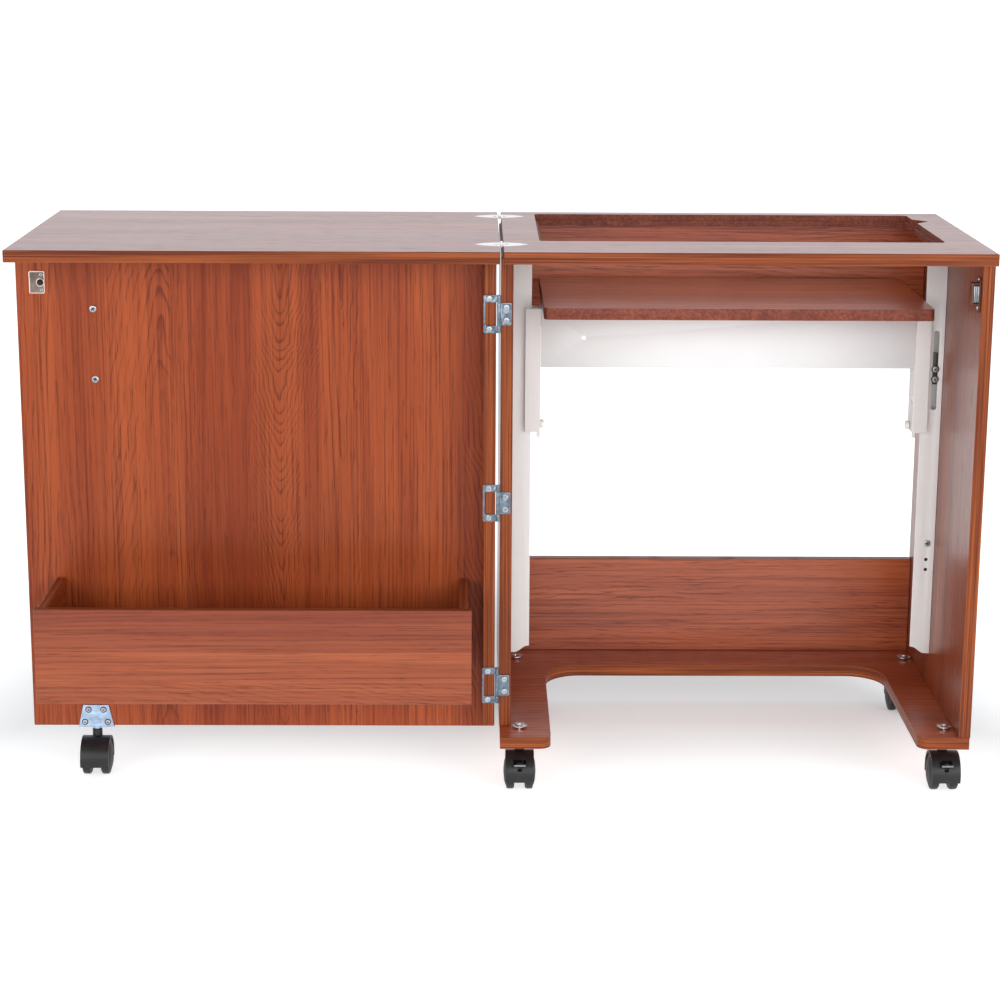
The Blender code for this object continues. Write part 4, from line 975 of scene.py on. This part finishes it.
def bow_handle():
    """A bow handle: a round bar swept on an arch, on two round feet, with its screws through the door."""
    bar = 4.2 * MM
    steps = 48
    low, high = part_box("door_handle")
    x = (low.x + high.x) / 2
    feet = [low.z + 4.5 * MM, high.z - 4.5 * MM]
    middle = (feet[0] + feet[1]) / 2
    half = (feet[1] - feet[0]) / 2
    reach = high.y - low.y - bar
    inner_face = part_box("door_panel")[0].y
    screws("handle_screws", "door", big_head, [(x, inner_face, z) for z in feet], FORWARD)
    curve = bpy.data.curves.new("bow", "CURVE")
    curve.dimensions = "3D"
    curve.bevel_depth = bar
    curve.bevel_resolution = 6
    curve.use_fill_caps = True
    spline = curve.splines.new("POLY")
    spline.points.add(steps)
    for step, point in enumerate(spline.points):
        angle = math.pi * step / steps
        along = -math.copysign(abs(math.cos(angle)) ** 0.5, math.cos(angle))
        point.co = (x, low.y + reach * math.sin(angle) ** 0.5, middle + half * along, 1.0)
    bow = bpy.data.objects.new("bow", curve)
    bpy.context.scene.collection.objects.link(bow)
    hold(bow)
    bpy.ops.object.convert(target="MESH")
    made = [smooth(bpy.context.object, 50)]
    for z in feet:
        made.append(ease(front_rod(x, z, low.y, low.y + 2.4 * MM, 6.2 * MM), 0.7 * MM, 3))
    fit(merge(made), "door_handle_bow", "door", nickel, "zinc_steel", "door_handle")


strike_plate()
strike_bumper()
magnet_catch()
caster_strap()
bow_handle()


# Casters, modelled about the swivel axis on the floor with the wheels towards -Y

WHEEL = 25 * MM
WHEEL_INNER = 7.2 * MM
WHEEL_OUTER = 18.3 * MM
AXLE_Y = -10 * MM
HOOD = 29.1 * MM
HOOD_HALF = 19.6 * MM
SKIRT_Z = 17 * MM
WEB_HALF = 6.1 * MM
NECK_LOW = 40 * MM
NECK_HIGH = 62 * MM
BEYOND = -60 * MM
TAB_Y = -27 * MM
TAB_Z = 44 * MM
BASE_FACE = 84.5 * MM
PRONGS = 3
DISC_STEPS = ((0.5, 0.0), (0.4, -0.5), (0.5, 0.7), (2.2, 1.05), (2.6, 0.9), (3.0, 0.7),
              (3.0, 0.45), (3.0, 0.25), (0.4, -0.4), (0.5, 0.0), (0.4, 0.5), (2.6, 0.2))


def axle_rod(start, end, radius, sides):
    """A round bar along the wheels' axle."""
    return rod((start, AXLE_Y, WHEEL), (end, AXLE_Y, WHEEL), radius, sides)


def wheel_pair():
    """Two wheels with rounded treads and domed discs on one axle."""
    wheel = axle_rod(WHEEL_INNER, WHEEL_OUTER, WHEEL, 96)
    for edge_x, width in ((WHEEL_INNER, 3.4 * MM), (WHEEL_OUTER, 2.6 * MM)):
        round_edges(wheel, lambda edge: lies_at(edge, edge_x), width, 6)
    inset_faces(wheel, lambda face: face.normal.x > 0.99 and len(face.verts) > 20, DISC_STEPS)
    smooth(wheel, 32)
    other = copy_of(wheel, Matrix.Scale(-1.0, 4, (1, 0, 0)))
    edit(other)
    bpy.ops.mesh.select_all(action="SELECT")
    bpy.ops.mesh.normals_make_consistent(inside=False)
    done()
    axle = smooth(axle_rod(-WHEEL_INNER - MM, WHEEL_INNER + MM, 3 * MM, 24))
    return merge([wheel, other, axle])


def caster_hood(braked):
    """The hood over a pair of wheels: a barrel with a web between the wheels and a neck for the stem.

    A braked hood has a stepped slot for its foot tab.
    """
    hood = axle_rod(-HOOD_HALF, HOOD_HALF, HOOD, 112)
    carve(hood, post(NECK_LOW, NECK_HIGH, 6.8 * MM, 48), "UNION")
    for side in (-1, 1):
        carve(hood, axle_rod(side * WEB_HALF, side * 30 * MM, WHEEL + 0.5 * MM, 96))
    carve(hood, even_block(40 * MM, BEYOND, 40 * MM, -10 * MM, SKIRT_Z))
    if braked:
        carve(hood, even_block(8.4 * MM, BEYOND, -22 * MM, 41.2 * MM, 47.0 * MM))
        carve(hood, even_block(4.3 * MM, BEYOND, -29 * MM, 38.4 * MM, 42 * MM))
        carve(hood, even_block(2.9 * MM, BEYOND, -30 * MM, 33.2 * MM, 38.6 * MM))
    return ease(hood, 0.6 * MM, 3, 40.0)


def brake_tab():
    """A foot tab: a thin ribbed ledge ahead of the hood, with a lighter grey lip that is painted highlight,
    on an arm from its pivot.
    """
    half = 8 * MM
    tip = TAB_Y - 16.2 * MM
    ledge = even_block(half, tip, TAB_Y - 10.2 * MM, TAB_Z - 2.0 * MM, TAB_Z + 0.2 * MM)
    round_edges(ledge, lambda edge: all(vert.co.y < tip + 0.2 * MM for vert in edge.verts), 0.9 * MM, 4)
    arm = even_block(3.9 * MM, TAB_Y - 11.6 * MM, TAB_Y + 1.9 * MM, TAB_Z - 1.9 * MM, TAB_Z + 0.9 * MM)
    made = [ease(ledge, 0.35 * MM), ease(arm, 0.5 * MM)]
    for step in range(3):
        edge = TAB_Y - 10.6 * MM - step * 1.7 * MM
        rib = even_block(6.8 * MM, edge - 0.8 * MM, edge, TAB_Z, TAB_Z + 0.55 * MM)
        made.append(ease(rib, 0.2 * MM))
    for piece in made:
        piece.data.materials.append(black_plastic)
    # the lip's lighter grey is painted highlight
    lip = even_block(half, TAB_Y - 16.5 * MM, TAB_Y - 15.4 * MM, TAB_Z - 1.7 * MM, TAB_Z + 0.5 * MM)
    lip.data.materials.append(lip_highlight_plastic)
    return merge(made + [ease(lip, 0.5 * MM, 3)])


def tee_nut():
    """A tee-nut on the base: a flange cut back at three places, its prongs, its bore and the stem's end."""
    under = BASE_FACE + 2.1 * MM
    nut_top = under + 0.9 * MM
    turns = [Matrix.Rotation(step * 2 * math.pi / PRONGS + 0.5, 4, "Z") for step in range(PRONGS)]
    flange = post(under, under + 1.3 * MM, 10.6 * MM, 60)
    inset_faces(flange, lambda face: face.normal.z > 0.9, ((3.4, -0.5), (1.4, 0.9)))
    for turn in turns:
        notch = block((7.6 * MM, -2.8 * MM, under - MM), (13 * MM, 2.8 * MM, under + 3 * MM))
        notch.data.transform(turn)
        carve(flange, notch)
    carve(flange, post(BASE_FACE, BASE_FACE + 9 * MM, 3.7 * MM))
    made = [ease(flange, 0.3 * MM)]
    for turn in turns:
        prong = block((6.7 * MM, -2.6 * MM, BASE_FACE - 2 * MM), (7.9 * MM, 2.6 * MM, nut_top))
        edit(prong)
        pick("VERT", lambda vert: vert.co.z < BASE_FACE)
        bpy.ops.transform.resize(value=(1.0, 0.25, 1.0), center_override=(0, 0, 0))
        done()
        prong.data.transform(turn)
        made.append(ease(prong, 0.2 * MM))
    made.append(ease(post(NECK_LOW, nut_top, 3.5 * MM), 0.6 * MM, 3))
    return merge(made)


def door_post(height):
    """The stem of the door's caster, with a collar under the bracket."""
    stem = smooth(post(NECK_LOW, height, 3.9 * MM, 28))
    collar = ease(post(NECK_HIGH + 0.2 * MM, height - 2.0 * MM, 5.0 * MM), 0.6 * MM)
    return merge([stem, collar])


plain_hood = caster_hood(False)
braked_hood = caster_hood(True)
wheels = wheel_pair()
tab = brake_tab()
nut = tee_nut()
for name in ("front_left", "front_right", "rear_left", "rear_right", "door"):
    low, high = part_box(name + "_caster_stem")
    place = Matrix.Translation(((low.x + high.x) / 2, (low.y + high.y) / 2, 0))
    if name.startswith("rear"):
        place = place @ Matrix.Rotation(math.pi, 4, "Z")
    braked = name.startswith("front")
    hood = copy_of(braked_hood if braked else plain_hood, place)
    fit(hood, name + "_caster_cover", name + "_caster", black_plastic, "black_plastic", name + "_caster_hood")
    fit(copy_of(wheels, place), name + "_caster_wheel_pair", name + "_wheels", tread_plastic, "caster_wheels",
        name + "_caster_wheels")
    if braked:
        fit(copy_of(tab, place), name + "_brake_paddle", name + "_brake", None, "black_plastic",
            name + "_caster_brake")
    if name == "door":
        stem = door_post(high.z)
        stem.data.transform(place)
        fit(stem, "door_caster_post", "door", zinc_plate, "zinc_steel", "door_caster_stem")
    else:
        fit(copy_of(nut, place), name + "_tee_nut", "cabinet", nut_zinc, "zinc_steel", name + "_caster_stem")
discard(plain_hood, braked_hood, wheels, tab, nut)
discard(pan_head, flush_head, big_head, strike_head, slot_head, small_head)


# Floor, light and camera

FLOOR_FRONT = -1.5
FLOOR_BACK = 30.0
FLOOR_TOP = -0.2 * MM
PAPER = (0.80, 0.855, 0.862)
DIM_GLOW = (0.20, 0.20, 0.20)
FULL_GLOW = (0.88, 0.88, 0.88)
SKY = (0.955, 0.98, 1.03)
ROOM_LEVEL = 0.30
BACKDROP_LEVEL = 1.25
SEEN_LEVEL = 1.05
PITCH = 0.2379
YAW = 0.011
ROLL = 0.0056
SENSOR = 36.0
FOCAL_RATIO = 2.3832
CAMERA_PLACE = (-31.4 * MM, -3253.6 * MM, 1163.1 * MM)


def pale_floor():
    """A white paper sweep, which ends in front of the object and glows further from it, to stay pale."""
    ground = block((-FLOOR_BACK, FLOOR_FRONT, FLOOR_TOP - MM), (FLOOR_BACK, FLOOR_BACK, FLOOR_TOP))
    ground.name = "studio_floor"
    finish = Finish("studio_white", 0.85)
    axes = finish.axes()
    away = (axes["X"] * axes["X"] * 1.3 + axes["Y"] * axes["Y"]).root().rise(0.60, 1.35)
    ahead = 1.0 - axes["Y"].rise(-0.22, 0.28)
    glow = away.most(ahead * 0.72)
    finish.set(Base_Color=PAPER, Specular_IOR_Level=0.0, Emission_Strength=1.0)
    finish.set(Emission_Color=finish.blend(glow, DIM_GLOW, FULL_GLOW))
    ground.data.materials.append(finish.material)


def surroundings():
    """A white backdrop behind the object, and a dim room in front of it and above."""
    world = bpy.data.worlds.new("studio")
    world.use_nodes = True
    sky = NodeTree(world.node_tree)
    view = sky.split(sky.node("ShaderNodeTexCoord", out="Generated"))
    backdrop = view["Y"].rise(-0.3, 0.5) * (1.0 - view["Z"].rise(0.3, 0.8))
    level = backdrop * (BACKDROP_LEVEL - ROOM_LEVEL) + ROOM_LEVEL
    straight = sky.node("ShaderNodeLightPath", out="Is Camera Ray")
    seen = sky.node("ShaderNodeMix", None, {0: straight, 2: level, 3: SEEN_LEVEL})
    background = world.node_tree.nodes["Background"]
    sky.feed(background.inputs["Color"], SKY)
    sky.feed(background.inputs["Strength"], seen)
    bpy.context.scene.world = world


def soft_box(name, place, aim, size, watts):
    """A large rectangular lamp pointed at a place."""
    lamp = bpy.data.lights.new(name, "AREA")
    lamp.shape = "RECTANGLE"
    lamp.size, lamp.size_y = size
    lamp.energy = watts
    holder = bpy.data.objects.new(name, lamp)
    bpy.context.scene.collection.objects.link(holder)
    holder.location = place
    holder.rotation_euler = (Vector(aim) - Vector(place)).to_track_quat("-Z", "Y").to_euler()


def photo_camera():
    """The fitted view: a long lens, a little above and left of the middle."""
    ahead = Vector((math.sin(YAW) * math.cos(PITCH), math.cos(YAW) * math.cos(PITCH), -math.sin(PITCH)))
    level = Vector((math.cos(YAW), -math.sin(YAW), 0.0))
    upright = level.cross(ahead)
    right = math.cos(ROLL) * level + math.sin(ROLL) * upright
    up = math.cos(ROLL) * upright - math.sin(ROLL) * level
    lens = bpy.data.cameras.new("photo_camera")
    lens.sensor_width = SENSOR
    lens.lens = SENSOR * FOCAL_RATIO
    lens.clip_start = 0.05
    lens.clip_end = 100.0
    camera = bpy.data.objects.new("photo_camera", lens)
    bpy.context.scene.collection.objects.link(camera)
    turn = Matrix((right, up, -ahead)).transposed().to_4x4()
    camera.matrix_world = Matrix.Translation(CAMERA_PLACE) @ turn
    bpy.context.scene.camera = camera


clear_choice()
pale_floor()
surroundings()
soft_box("key", (-2.1, -2.8, 1.2), (-0.2, 0.0, 0.45), (2.2, 1.8), 44.5)
soft_box("fill", (2.2, -2.7, 1.2), (0.2, 0.0, 0.45), (2.2, 1.8), 53.0)
soft_box("front", (0.25, -3.5, 1.15), (0.25, 0.0, 0.4), (1.7, 1.3), 33.5)
soft_box("overhead", (0.1, 0.1, 2.7), (0.1, 0.1, 0.0), (2.4, 1.6), 9.0)
photo_camera()
bpy.context.scene.view_settings.view_transform = "Standard"
bpy.context.scene.view_settings.look = "None"
